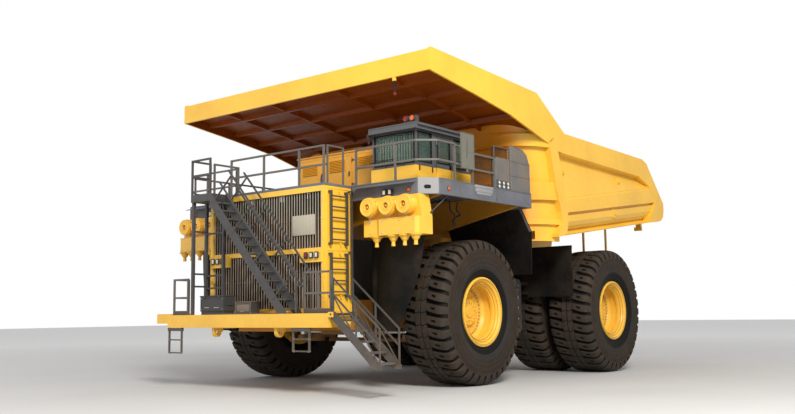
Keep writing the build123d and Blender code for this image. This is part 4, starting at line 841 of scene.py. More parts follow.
def make_tyres():
    """The treaded tyres, which stand in for the plain ones of the CAD model."""
    for side in sides:
        front = middle_of(f"front_tyre_{side}")
        centre = (front.x, front.y, tyre_radius)
        tyre = finished(f"tread_tyre_front_{side}", joined_tyres("front", [centre]), tyre_rubber,
                        f"front_wheel_{side}", 40)
        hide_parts(f"front_tyre_{side}")
        low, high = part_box(f"rear_tyres_{side}")
        y = (low.y + high.y) / 2
        centres = [(x, y, tyre_radius) for x in (low.x + half_tyre, high.x - half_tyre)]
        pair = finished(f"tread_tyres_rear_{side}", joined_tyres("rear", centres), tyre_rubber,
                        f"rear_wheels_{side}", 40)
        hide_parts(f"rear_tyres_{side}")


# ---- Wheel trim ---------------------------------------------------------------------------------
bead_share = 0.80
hub_recess = 0.52
hub_cap_out = 0.11
stud_ring = 0.645


def stud(out, place, radius, length, flats=6):
    """A nut and its stud on a wheel's face, before it is turned round the axle."""
    shape = bmesh.new()
    add_rod(shape, (place, 0, 0), (place + out * length * 0.6, 0, 0), radius, steps=flats)
    add_rod(shape, (place + out * length * 0.5, 0, 0), (place + out * length, 0, 0), radius * 0.55, steps=8)
    bmesh.ops.rotate(shape, verts=shape.verts, matrix=Matrix.Rotation(0, 3, "X"))
    return shape


def ring_of_studs(centre, out, place, ring, count, radius, length, finish):
    """Studs round a wheel's face; place is the face's distance outwards from the tyre's middle."""
    shape = stud(out, out * place, radius, length)
    bmesh.ops.translate(shape, verts=shape.verts, vec=(0, 0, ring))
    return copies("studs", to_mesh("stud", shape), count, centre, turn=2 * pi / count, finish=finish)


def make_wheel_trim():
    """Studs, rim rings, dark rings painted as the shade in the rim's grooves, valves and hub covers of every
    wheel.
    """
    face = bead_share * half_tyre - hub_recess
    for side, out in sides.items():
        front = middle_of(f"front_tyre_{side}")
        low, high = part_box(f"rear_tyres_{side}")
        outer_x = high.x - half_tyre if out > 0 else low.x + half_tyre
        rear = Vector((outer_x, (low.y + high.y) / 2, tyre_radius))
        for place, body, tag in ((front, f"front_wheel_{side}", "front"),
                                 (rear, f"rear_wheels_{side}", "rear")):
            centre = (place.x, place.y, tyre_radius)
            studs = ring_of_studs(centre, out, face, stud_ring, 40, 0.022, 0.055, zinc)
            finished(f"wheel_studs_{tag}_{side}", studs, zinc, body)
            caps = [
                ring_of_studs(centre, out, face + hub_cap_out, 0.27, 14, 0.02, 0.04, wheel_paint),
                ring_of_studs(centre, out, face, 0.50, 20, 0.018, 0.035, wheel_paint),
                ring_of_studs(centre, out, face + hub_cap_out + 0.04, 0.09, 6, 0.014, 0.025, wheel_paint),
            ]
            shape = bmesh.new()
            lip = bead_share * half_tyre
            for inner, outer, along, thick in ((0.905, 0.935, lip + 0.073, 0.016),
                                               (0.80, 0.822, lip - 0.045, 0.03)):
                start = Vector(centre) + Vector((out * along, 0, 0))
                ring = [(0.0, inner), (thick * 0.7, inner + 0.004), (thick, (inner + outer) / 2),
                        (thick * 0.7, outer - 0.004), (0.0, outer)]
                add_turned_ring(shape, ring, start, (out, 0, 0), 72)
            steps = [(-0.18, 0.805), (-0.18, 0.742), (-0.12, 0.732), (-0.085, 0.740), (-0.078, 0.768),
                     (-0.050, 0.776),
                     (-0.042, 0.805)]
            add_turned_ring(shape, steps, Vector(centre) + Vector((out * lip, 0, 0)),
                            (out, 0, 0), 72)
            valve = Vector(centre) + Vector((out * (lip - 0.02), 0, 0.80))
            add_rod(shape, valve, valve + Vector((out * 0.09, 0, -0.03)), 0.012, steps=10)
            add_box(shape, *cover_corners(centre, out, face + hub_cap_out), 0.006)
            # Thin dark rings in shaded yellow paint: painted shade in the rim's grooves.
            grooves = bmesh.new()
            for along, inner, outer in ((lip + 0.074, 0.896, 0.905), (lip + 0.012, 0.824, 0.834),
                                        (lip - 0.048, 0.768, 0.777)):
                section = [(0.0, inner), (0.006, inner), (0.006, outer), (0.0, outer)]
                add_turned_ring(grooves, section, Vector(centre) + Vector((out * along, 0, 0)), (out, 0, 0),
                                72)
            piece(f"rim_groove_shade_{tag}_{side}", grooves, shade_paint, body, "rim_paint")
            mesh = joined("trim", caps + [to_mesh("rim_rings", shape)])
            finished(f"rim_rings_{tag}_{side}", mesh, wheel_paint, body)


def cover_corners(centre, out, place):
    """The corners of a small inspection cover on a hub's cap, below its middle."""
    x = centre[0] + out * place
    ends = sorted((x, x + out * 0.018))
    return (ends[0], centre[1] - 0.07, centre[2] - 0.235), (ends[1], centre[1] + 0.07, centre[2] - 0.175)


def add_turned_ring(shape, section, start, axis, steps):
    """Adds a ring: a closed section of (distance along the axis, radius) points, turned about the axis."""
    axis = Vector(axis).normalized()
    across = axis.orthogonal().normalized()
    upright = axis.cross(across)
    rows = []
    for k in range(steps):
        angle = 2 * pi * k / steps
        spoke = across * cos(angle) + upright * sin(angle)
        rows.append([shape.verts.new(Vector(start) + axis * along + spoke * radius)
                     for along, radius in section])
    for low, high in zip(rows, rows[1:] + rows[:1]):
        for k, corner in enumerate(low):
            onward = (k + 1) % len(low)
            shape.faces.new([corner, low[onward], high[onward], high[k]])
# ---- Cab ----------------------------------------------------------------------------------------
def add_span(shape, x, y, z, round_off=0.0):
    """Adds a box from three spans, each given in either order."""
    corners = list(zip(sorted(x), sorted(y), sorted(z)))
    return add_box(shape, *corners, round_off)


def add_ring(shape, start, axis, inner, outer, height, steps=32):
    """Adds a raised ring with softened edges, standing on a face."""
    soft = min(height, outer - inner) * 0.25
    section = [(0.0, inner), (height - soft, inner), (height, inner + soft), (height, outer - soft),
               (height - soft, outer), (0.0, outer)]
    add_turned_ring(shape, section, start, axis, steps)


def add_dome(shape, start, axis, radius, height, steps=24):
    """Adds a low round dome, such as a lens or a button."""
    section = [(0.0, radius), (height * 0.55, radius * 0.97), (height * 0.85, radius * 0.7), (height, 0.0)]
    add_turned(shape, section, start, axis, steps)


def add_bolt(shape, start, axis, radius, height=None):
    """Adds a hexagon bolt head on its washer."""
    height = height or radius * 0.9
    add_turned(shape, [(0.0, radius * 1.35), (height * 0.22, radius * 1.35)], start, axis, 14)
    add_turned(shape, [(height * 0.2, radius), (height * 0.9, radius), (height, radius * 0.85)], start,
               axis, 6)


cab_front_y, cab_rear_y = base_low.y + 0.02, -3.35
cab_left_x, cab_right_x = 4.05, 2.55
cab_openings = {  # the side each window faces: its spans along that side and in height
    "front": [(2.64, 3.97, 5.94, 6.735)],
    "left": [(-5.70, -5.14, 5.97, 6.735), (-4.08, -3.48, 5.96, 6.72)],
    "right": [(-5.60, -4.70, 5.96, 6.72), (-4.50, -3.60, 5.96, 6.72)],
    "rear": [(2.75, 3.85, 5.96, 6.72)],
}
door_face_x = 4.062
door_pane = (-4.86, -4.32, 6.01, 6.65)


def make_cab_trim():
    """Window gaskets, the roof's gutters, wipers and the small fittings of the cab's walls."""
    shape = bmesh.new()
    proud, sunk, width = 0.012, 0.022, 0.026
    for a, b, low, high in cab_openings["front"]:
        add_frame_y(shape, cab_front_y - proud, cab_front_y + sunk, a, b, low, high, width)
    for a, b, low, high in cab_openings["rear"]:
        add_frame_y(shape, cab_rear_y - sunk, cab_rear_y + proud, a, b, low, high, width)
    for a, b, low, high in cab_openings["left"]:
        add_frame_x(shape, cab_left_x - sunk, cab_left_x + proud, a, b, low, high, width)
    for a, b, low, high in cab_openings["right"]:
        add_frame_x(shape, cab_right_x - proud, cab_right_x + sunk, a, b, low, high, width)
    piece("cab_window_gaskets", shape, gasket_rubber, "chassis", "cab_trim")

    shape = bmesh.new()
    y = cab_front_y - 0.02
    for pivot_x, tip_x, lean in ((3.62, 3.02, 0.10), (3.02, 2.72, 0.07)):
        add_turned(shape, [(0, 0.03), (0.02, 0.03), (0.03, 0.018)], (pivot_x, cab_front_y, 5.905),
                   (0, -1, 0), 14)
        add_rod(shape, (pivot_x, y, 5.905), (tip_x, y - 0.006, 5.97 + lean), 0.009, 0.006, 8)
        add_span(shape, (tip_x - 0.26, tip_x + 0.30), (y - 0.014, y + 0.008), (5.965 + lean, 5.985 + lean),
                 0.003)
    for x, y0, z in ((cab_left_x, -5.10, 5.80), (cab_left_x, -5.66, 5.80)):
        add_span(shape, (x, x + 0.025), (y0 - 0.02, y0 + 0.02), (z - 0.09, z + 0.05), 0.006)
    add_span(shape, (2.44, 2.53), (cab_front_y - 0.13, cab_front_y - 0.05), (6.66, 6.84), 0.01)
    add_rod(shape, (2.49, cab_front_y - 0.09, 6.68), (2.49, cab_front_y - 0.09, 6.56), 0.03, 0.022, 12)
    piece("cab_wipers", shape, trim_plastic, "chassis", "cab_trim")

    shape = bmesh.new()
    for z in (6.80, 6.93):
        add_span(shape, (2.54, 4.165), (cab_front_y - 0.162, cab_front_y - 0.146), (z - 0.006, z + 0.012),
                 0.003)
    for x in (2.62, 3.02, 3.42, 3.82, 4.1):
        add_bolt(shape, (x, cab_front_y - 0.15, 6.865), (0, -1, 0), 0.011)
    for y0 in (-5.6, -5.1, -4.6, -4.1, -3.6):
        add_bolt(shape, (4.23, y0, 6.915), (1, 0, 0), 0.011)
    add_span(shape, (2.9, 3.7), (-4.95, -4.05), (6.958, 7.02), 0.02)
    for k in range(7):
        add_span(shape, (3.0, 3.6), (-4.86 + k * 0.12, -4.80 + k * 0.12), (7.018, 7.03), 0.003)
    for y0 in (-5.02, -5.13):
        add_span(shape, (cab_left_x, cab_left_x + 0.008), (y0, y0 + 0.012), (5.87, 6.78))
    add_span(shape, (cab_left_x - 0.01, cab_left_x + 0.01), (-5.78, -5.765), (5.87, 6.78), 0.003)
    add_span(shape, (2.51, 4.055), (cab_front_y - 0.022, cab_front_y - 0.0), (5.848, 5.875), 0.005)
    piece("cab_roof_trim", shape, slate_paint, "chassis", "cab_paint")

    shape = bmesh.new()
    y = cab_front_y + 0.025
    for k in range(13):
        x = 2.70 + k * 0.092
        add_span(shape, (x, x + 0.040), (y + 0.10, y + 0.112), (6.02, 6.70), 0.004)
    piece("cab_sun_blind", shape, blind_cloth, "chassis", "cab_trim")


def make_door_trim():
    """The door's pane, its gasket, handle and kick plate, which swing with it."""
    y0, y1, z0, z1 = door_pane
    shape = bmesh.new()
    add_span(shape, (4.028, 4.038), (y0 - 0.01, y1 + 0.01), (z0 - 0.01, z1 + 0.01), 0.002)
    piece("door_pane", shape, cab_glass, "cab_door_body", "cab_glass")
    shape = bmesh.new()
    add_frame_x(shape, 4.045, door_face_x + 0.008, y0 + 0.012, y1 - 0.012, z0 + 0.012, z1 - 0.012, 0.04)
    add_frame_x(shape, door_face_x, door_face_x + 0.004, -4.918, -4.242, 5.49, 6.708, 0.010)
    add_span(shape, (door_face_x - 0.004, door_face_x + 0.006), (-4.33, -4.25), (5.86, 5.99), 0.003)
    add_tube(shape, smoothed([(door_face_x, -4.27, 5.90), (door_face_x + 0.028, -4.275, 5.905),
                              (door_face_x + 0.03, -4.32, 5.915), (door_face_x + 0.022, -4.345, 5.915)], 4),
                              0.008)
    piece("door_gasket_and_handle", shape, gasket_rubber, "cab_door_body", "cab_trim")
    shape = bmesh.new()
    for y in (-4.88, -4.58, -4.28):
        for z in (5.53, 5.78):
            add_bolt(shape, (door_face_x, y, z), (1, 0, 0), 0.009)
    add_span(shape, (door_face_x, door_face_x + 0.004), (-4.86, -4.30), (5.56, 5.75), 0.002)
    piece("door_kick_plate", shape, yellow_paint, "cab_door_body", "cab_paint")


def make_mirror_trim():
    """Clamps, ribs and the bent carrying tube of the left mirrors."""
    shape = bmesh.new()
    x, face = 4.9, 4.915
    add_tube(shape, smoothed([(x, -4.70, 6.62), (x + 0.003, -4.71, 6.3), (x, -4.74, 6.05),
                              (x - 0.02, -4.9, 5.93),
                              (x - 0.03, -5.12, 5.86)], 5), 0.018)
    for y, z in ((-4.70, 6.33), (-4.70, 6.17), (-4.70, 6.02), (-5.06, 5.87), (-5.12, 6.33)):
        add_rod(shape, (x - 0.02, y, z - 0.03), (x - 0.02, y, z + 0.03), 0.035, steps=14)
        add_bolt(shape, (x - 0.008, y + 0.02, z), (1, 0, 0), 0.010)
    piece("mirror_clamps", shape, trim_plastic, "chassis", "mirror_housing")
    shape = bmesh.new()
    add_frame_x(shape, face - 0.006, face + 0.008, -4.955, -4.395, 5.775, 6.705, 0.012)
    add_span(shape, (face, face + 0.005), (-4.955, -4.395), (6.225, 6.245), 0.002)
    for z in (5.86, 6.60):
        add_span(shape, (face - 0.002, face + 0.008), (-4.72, -4.68), (z - 0.05, z + 0.05), 0.003)
    piece("mirror_rims", shape, mirror_paint, "chassis", "mirror_housing")
    shape = bmesh.new()
    add_span(shape, (4.870, 4.882), (-4.95, -4.40), (5.79, 6.21), 0.003)
    add_span(shape, (4.870, 4.882), (-4.95, -4.40), (6.26, 6.70), 0.003)
    piece("mirror_glass", shape, chrome, "chassis", "mirror_housing")


# ---- Upper deck ---------------------------------------------------------------------------------
deck_side_x = deck_high.x
deck_edge_y = -6.35
corner_in = 0.4  # how far the corner's slanted face reaches along each edge
guard_face_x = 4.90


deck_low_z = 4.98


def make_corner_plates():
    """The bright plates that wrap the deck's slanted corners, with their long holes."""
    plates, holes = bmesh.new(), bmesh.new()
    for side in sides.values():
        first, last = (Vector((deck_side_x - corner_in, deck_edge_y, 0)),
                       Vector((deck_side_x, deck_edge_y + corner_in, 0)))
        run, out = (last - first).normalized(), Vector((1, -1, 0)).normalized()
        flip = Matrix.Diagonal((side, 1, 1))

        def at(along, z, proud):
            spot = first + run * along + out * proud
            return flip @ Vector((spot.x, spot.y, z))

        width = (last - first).length
        low, high = deck_low_z + 0.01, deck_high.z - 0.001
        face = [at(0.02, low, 0.0), at(width - 0.04, low, 0.0), at(width - 0.02, low + 0.05, 0.0),
                at(width - 0.02, high, 0.0), at(0.02, high, 0.0)]
        add_outline(plates, face, flip @ (out * 0.010))
        oval = []
        for k in range(24):
            turn = 2 * pi * k / 24
            wide = 0.045 * (1 if cos(turn) > 0 else -1) if abs(cos(turn)) > 0.02 else 0.0
            oval.append(at(width * 0.46 + wide + 0.045 * cos(turn),
                           (low + high) / 2 - 0.03 + 0.05 * sin(turn), 0.008))
        add_outline(holes, oval, flip @ (out * 0.004))
    piece("deck_corner_plates", plates, silver_paint, "chassis", "deck_paint")
    piece("corner_plate_holes", holes, gasket_rubber, "chassis", "deck_paint")


def make_deck_trim():
    """Seams, lips, bolts, stays and the silver step along the deck's edges."""
    shape = bmesh.new()
    for side in sides.values():
        x0, x1 = side * 2.34, side * (deck_side_x - corner_in - 0.02)
        add_span(shape, (x0, x1), (deck_edge_y - 0.008, deck_edge_y + 0.004), (5.375, 5.398), 0.003)
        add_span(shape, (x0, x1), (deck_edge_y - 0.006, deck_edge_y + 0.004), (4.985, 5.005), 0.003)
        edge = side * deck_side_x
        add_span(shape, (edge - side * 0.002, edge + side * 0.010), (-5.93, -1.46), (5.375, 5.398), 0.003)
        add_span(shape, (edge - side * 0.002, edge + side * 0.008), (-5.93, -1.46), (4.985, 5.005), 0.003)
        for y in (-5.05, -3.3, -2.35):
            add_span(shape, (edge - side * 0.002, edge + side * 0.008), (y, y + 0.015), (5.0, 5.38))
        for y in (-5.85, -5.2, -3.0, -2.2, -1.6):
            for z in (5.06, 5.31):
                add_bolt(shape, (edge, y, z), (side, 0, 0), 0.012)
        for y in (-3.28, -1.62):
            add_rod(shape, (edge, y, 5.11), (edge + side * 0.02, y, 5.11), 0.045, steps=16)
    piece("deck_edge_seams", shape, deck_edge_paint, "chassis", "deck_paint")

    shape = bmesh.new()
    add_span(shape, (4.84, 4.921), (-4.36, -3.47), (5.30, 5.385), 0.02)
    add_span(shape, (4.84, 4.918), (-4.33, -3.50), (5.19, 5.31), 0.03)
    add_span(shape, (4.84, 4.914), (-4.27, -3.56), (5.13, 5.20), 0.025)
    piece("deck_side_step", shape, silver_paint, "chassis", "deck_paint")

    shape = bmesh.new()
    for side in sides.values():
        x = side * 4.80
        add_rod(shape, (x, -5.42, 5.02), (side * 4.66, -6.02, 4.52), 0.018, steps=10)
        add_rod(shape, (x, -5.20, 5.03), (x, -4.45, 4.93), 0.014, steps=8)
        for y in (-5.42, -5.2, -4.45):
            add_span(shape, (x - 0.03, x + 0.03), (y - 0.04, y + 0.04), (4.985, 5.05), 0.008)
        add_rod(shape, (side * 4.66, -6.06, 4.50), (side * 4.66, -5.98, 4.54), 0.04, steps=12)
    piece("deck_stays", shape, stair_paint, "chassis", "deck_paint")

    shape = bmesh.new()
    for side in sides.values():
        runs = [
            [(4.45, -4.9, 4.93), (4.40, -4.80, 4.70), (4.46, -4.68, 4.55), (4.34, -4.60, 4.42),
             (4.30, -4.5, 4.25)],
            [(4.52, -4.62, 4.93), (4.44, -4.58, 4.72), (4.52, -4.5, 4.60), (4.30, -4.48, 4.50),
             (4.24, -4.4, 4.25)],
            [(2.8, -5.3, 4.86), (3.3, -5.25, 4.80), (3.9, -5.2, 4.88), (4.5, -5.1, 4.94)],
            [(1.4, -4.6, 4.2), (1.9, -4.5, 3.9), (2.2, -4.2, 3.75), (2.35, -3.6, 3.5)],
            [(1.3, -2.3, 2.9), (1.7, -2.2, 2.7), (1.9, -2.5, 2.9), (2.05, -2.75, 3.2)],
        ]
        for line in runs:
            add_tube(shape, smoothed([(side * x, y, z) for x, y, z in line], 5), 0.022)
    piece("under_deck_hoses", shape, hose_rubber, "chassis", "black_box")


def make_guard_trim():
    """Rivets, the open mesh and the tubes of the guard panels along the left side."""
    shape = bmesh.new()
    add_bolt(shape, (0, 0, 0), (1, 0, 0), 0.010, 0.008)
    head = to_mesh("rivet", shape)
    rows = [  # (distance across, along, height of the first rivet, count)
        (4.88, -3.27, 5.66, 7), (4.88, -2.62, 5.66, 7), (guard_face_x, -2.54, 5.46, 13),
        (guard_face_x, -1.53, 5.46, 8),
    ]
    meshes = [copies("rivets", head, count, (x, y, z), (0, 0, 0.09), finish=zinc) for x, y, z, count in rows]
    meshes.append(copies("rivets", head, 11, (guard_face_x, -2.5, 5.43), (0, 0.09, 0), finish=zinc))
    finished("guard_rivets", joined("guard_rivets", meshes), zinc, "chassis")

    wires = []
    x = 4.80
    for y0, y1, z0, z1 in ((-4.33, -3.36, 5.44, 6.22), (-3.36, -2.60, 6.28, 6.55)):
        pitch = 0.032
        shape = bmesh.new()
        add_span(shape, (x, x + 0.006), (-0.004, 0.004), (0, z1 - z0))
        wires.append(copies("wires", to_mesh("wire", shape), int((y1 - y0) / pitch) + 1, (0, y0, z0),
                            (0, pitch, 0), finish=mesh_finish))
        shape = bmesh.new()
        add_span(shape, (x + 0.004, x + 0.010), (0, y1 - y0), (-0.004, 0.004))
        wires.append(copies("wires", to_mesh("wire", shape), int((z1 - z0) / pitch) + 1, (0, y0, z0),
                            (0, 0, pitch), finish=mesh_finish))
        shape = bmesh.new()
        add_frame_x(shape, x - 0.008, x + 0.014, y0 + 0.01, y1 - 0.01, z0 + 0.01, z1 - 0.01, 0.022)
        wires.append(to_mesh("edge", shape))
    finished("guard_mesh", joined("guard_mesh", wires), mesh_finish, "chassis")

    shape = bmesh.new()
    edge = [(4.86, -2.50, 5.42), (4.86, -2.50, 6.62), (4.86, -2.42, 6.70), (4.86, -1.80, 6.62),
            (4.86, -1.62, 6.52),
            (4.86, -1.48, 6.22), (4.86, -1.48, 5.42)]
    add_tube(shape, edge, 0.02)
    add_tube(shape, [(4.84, -3.30, 6.26), (4.84, -3.30, 6.58), (4.84, -2.55, 6.58)], 0.016)
    piece("guard_tubes", shape, rail_paint, "chassis", "rail_paint")


# ---- Lamps --------------------------------------------------------------------------------------
def make_lamps():
    """Bezels, lenses and rims of the lamps at the front, on the deck and on the cab's roof."""
    bezels, clear, red, amber, rims = (bmesh.new() for _ in range(5))

    def square_lamp(x, y, z, lens_shape):
        add_span(bezels, (x - 0.060, x + 0.060), (y - 0.010, y + 0.002), (z - 0.085, z + 0.085), 0.004)
        add_span(lens_shape, (x - 0.038, x + 0.038), (y - 0.020, y - 0.008), (z - 0.055, z + 0.055), 0.006)

    def round_lamp(place, axis, radius, lens_shape):
        add_ring(bezels, place, axis, radius * 0.98, radius * 1.18, 0.014)
        add_dome(lens_shape, place, axis, radius, 0.022)

    for side in sides.values():
        for x, lens_shape in ((1.66, red), (1.85, clear), (2.04, clear)):
            square_lamp(side * x, -7.455, 3.525, lens_shape)
        for x in (3.46, 3.65):
            square_lamp(side * x, deck_edge_y - 0.06, 5.10, clear)
        round_lamp((side * 4.23, deck_edge_y, 5.12), (0, -1, 0), 0.055, amber)
    round_lamp((deck_side_x, -5.55, 5.16), (1, 0, 0), 0.055, amber)
    round_lamp((-deck_side_x, -5.55, 5.16), (-1, 0, 0), 0.055, amber)
    for x, lens_shape in ((3.745, red), (3.955, amber)):
        round_lamp((x, cab_front_y - 0.05, 7.09), (0, -1, 0), 0.07, lens_shape)
        round_lamp((x, cab_front_y + 0.14, 7.09), (0, 1, 0), 0.07, lens_shape)
    for y in (-3.14, -2.915, -2.69):
        for z in (5.462, 5.565):
            add_ring(rims, (4.894, y, z), (1, 0, 0), 0.038, 0.050, 0.012, 24)
            add_dome(clear, (4.894, y, z), (1, 0, 0), 0.040, 0.016, 20)
    add_turned(red, [(0, 0.046), (0.06, 0.046), (0.10, 0.030), (0.115, 0.0)], (2.05, -7.22, 5.545),
               (0, 0, 1), 20)
    piece("lamp_bezels", bezels, trim_plastic, "chassis", "lamp_housing")
    piece("clear_lenses", clear, white_lens, "chassis", "lamp_housing")
    piece("red_lenses", red, red_lens, "chassis", "lamp_housing")
    piece("amber_lenses", amber, amber_lens, "chassis", "lamp_housing")
    piece("work_lamp_rims", rims, zinc, "chassis", "lamp_housing")


# ---- Radiator front -----------------------------------------------------------------------------
grille_y = -7.37
bar_face_y = -7.33


def make_grille_trim():
    """The header plate, the dark seals between the cores, the blank plate and its fixings."""
    shape = bmesh.new()
    core_y = -7.112
    for x in (-1.95, -1.17, -0.39, 0.39, 1.17, 1.95):
        add_span(shape, (x - 0.035, x + 0.035), (core_y - 0.02, core_y + 0.005), (2.17, 5.06), 0.006)
    add_span(shape, (-2.12, 2.12), (core_y - 0.012, core_y + 0.006), (4.66, 5.08), 0.004)
    add_span(shape, (-2.12, 2.12), (core_y - 0.012, core_y + 0.006), (3.50, 3.62), 0.004)
    piece("core_seals", shape, gasket_rubber, "chassis", "core_metal")

    shape = bmesh.new()
    add_span(shape, (-2.135, 2.135), (-7.245, -7.215), (5.06, 5.185), 0.004)
    add_span(shape, (-2.135, 2.135), (-7.245, -7.215), (2.165, 2.22), 0.004)
    for x in (-1.6, -0.2, 1.2):
        add_outline(shape, [(x - 0.09, -7.36, 5.28), (x + 0.09, -7.36, 5.28), (x + 0.05, -7.36, 5.335),
                            (x - 0.05, -7.36, 5.335)], (0, 0.04, 0))
    for side in sides.values():
        for z in (2.45, 2.95, 3.45, 3.95, 4.45, 4.95):
            add_bolt(shape, (side * 2.195, grille_y, z), (0, -1, 0), 0.014)
        face = side * 2.25
        for y in (-7.28, -6.42):
            add_span(shape, (face - side * 0.002, face + side * 0.010), (y - 0.02, y + 0.02), (2.06, 5.31),
                     0.003)
        for z in (2.10, 3.66, 5.28):
            add_span(shape, (face - side * 0.002, face + side * 0.010), (-7.26, -6.44),
                     (z - 0.02, z + 0.02), 0.003)
        add_span(shape, (face - side * 0.002, face + side * 0.006), (-7.20, -7.05), (3.86, 4.02), 0.003)
        for y in (-7.12, -6.75):
            for low, high in ((2.43, 2.50), (3.52, 3.58), (3.78, 3.86), (5.1, 5.18)):
                points = [(face, y - 0.09, high), (face, y - 0.02, high), (face, y - 0.02, low - 0.05)]
                add_outline(shape, points, (side * 0.05, 0, 0))
    piece("radiator_shell_trim", shape, yellow_paint, "chassis", "yellow_paint")

    shape = bmesh.new()
    for x in (-1.75, -0.55, 0.62, 1.62):
        add_tube(shape, [(x, bar_face_y - 0.012, 5.02), (x, bar_face_y - 0.012, 5.16),
                         (x + 0.09, bar_face_y - 0.012, 5.16), (x + 0.09, bar_face_y - 0.012, 5.02)], 0.008,
                         6)
    for x in (-1.9, -1.3, -0.7, -0.1, 0.5, 1.1, 1.7):
        for z in (3.58, 3.75):
            add_bolt(shape, (x, bar_face_y - 0.004, z), (0, -1, 0), 0.014)
    for side in sides.values():
        for z in (2.3, 3.4, 3.85, 4.5, 5.05):
            add_bolt(shape, (side * 2.12, bar_face_y - 0.004, z), (0, -1, 0), 0.016)
    piece("grille_fixings", shape, zinc, "chassis", "grille_paint")

    shape = bmesh.new()
    add_span(shape, (1.06, 1.89), (bar_face_y - 0.020, bar_face_y - 0.010), (4.07, 4.60), 0.004)
    for k in range(16):
        x = 1.075 + k * 0.0525
        add_span(shape, (x, x + 0.022), (bar_face_y - 0.026, bar_face_y - 0.018), (4.08, 4.59), 0.003)
    piece("blank_front_plate", shape, plate_paint, "chassis", "grille_paint")
    shape = bmesh.new()
    for x in (1.09, 1.86):
        for z in (4.10, 4.57):
            add_bolt(shape, (x, bar_face_y - 0.02, z), (0, -1, 0), 0.010)
    piece("blank_plate_bolts", shape, zinc, "chassis", "grille_paint")
# ---- Stairs, ladders and bumper -----------------------------------------------------------------
def make_stair_trim():
    """Bright-worn nosings and slats on every tread, kick plates and bolts of the stairs."""
    steps, foot, head = 13, Vector((1.43, 0, 2.03)), Vector((-1.46, 0, 5.24))
    stride = (head - foot) / steps
    first = foot + stride / 2
    shape = bmesh.new()
    add_span(shape, (0.112, 0.134), (-8.045, -7.515), (-0.022, 0.022), 0.004)
    for k in range(4):
        x = -0.125 + k * 0.06
        add_span(shape, (x, x + 0.022), (-8.04, -7.52), (0.013, 0.021), 0.002)
    treads = copies("treads", to_mesh("tread", shape), steps, tuple(first), tuple(stride), finish=worn_paint)
    finished("stair_treads", treads, worn_paint, "chassis")

    shape = bmesh.new()
    for k in range(steps):
        spot = first + stride * k
        for y, out in ((-8.07, -1), (-7.49, 1)):
            for dx in (-0.06, 0.05):
                add_bolt(shape, (spot.x + dx, y, spot.z), (0, out, 0), 0.010)
    for y in (-8.07, -7.49):
        out = -1 if y < -7.8 else 1
        for share in (0.12, 0.40, 0.68, 0.96):
            spot = foot + (head - foot) * share
            add_bolt(shape, (spot.x + 0.03, y, spot.z + 0.02), (0, out, 0), 0.013)
    piece("stair_bolts", shape, stair_paint, "chassis", "stair_paint")

    steps, foot, head = 5, Vector((3.16, 0, 1.98)), Vector((4.60, 0, 0.70))
    stride = (head - foot) / steps
    shape = bmesh.new()
    add_span(shape, (0.092, 0.112), (-8.012, -7.338), (-0.026, 0.026), 0.004)
    for k in range(4):
        x = -0.115 + k * 0.055
        add_span(shape, (x, x + 0.02), (-8.012, -7.338), (0.018, 0.026), 0.002)
    treads = copies("treads", to_mesh("tread", shape), steps, tuple(foot + stride / 2), tuple(stride),
                    finish=worn_paint)
    finished("boarding_treads", treads, worn_paint, "boarding_stair_body")

    shape = bmesh.new()
    for x0, x1, foot_z in ((-3.22, -2.62, 0.96), (1.79, 2.40, 1.08)):
        rung_gap = (1.6797 - foot_z) / 2
        for k in range(2):
            z = foot_z + k * rung_gap + 0.0175
            for x, out in ((x0, -1), (x1, 1)):
                add_dome(shape, (x, -8.0475, z), (out, 0, 0), 0.014, 0.008, 12)
                add_span(shape, (x - out * 0.046, x - out * 0.052), (-8.075, -8.02), (z - 0.028, z + 0.028),
                         0.003)
    piece("ladder_rung_ends", shape, zinc, "chassis", "rail_paint")
    shape = bmesh.new()
    for x0, x1 in ((-3.24, -2.60), (1.77, 2.42)):
        add_span(shape, (x0, x1), (-8.085, -8.01), (1.585, 1.672), 0.008)
    piece("ladder_hangers", shape, stair_paint, "chassis", "rail_paint")


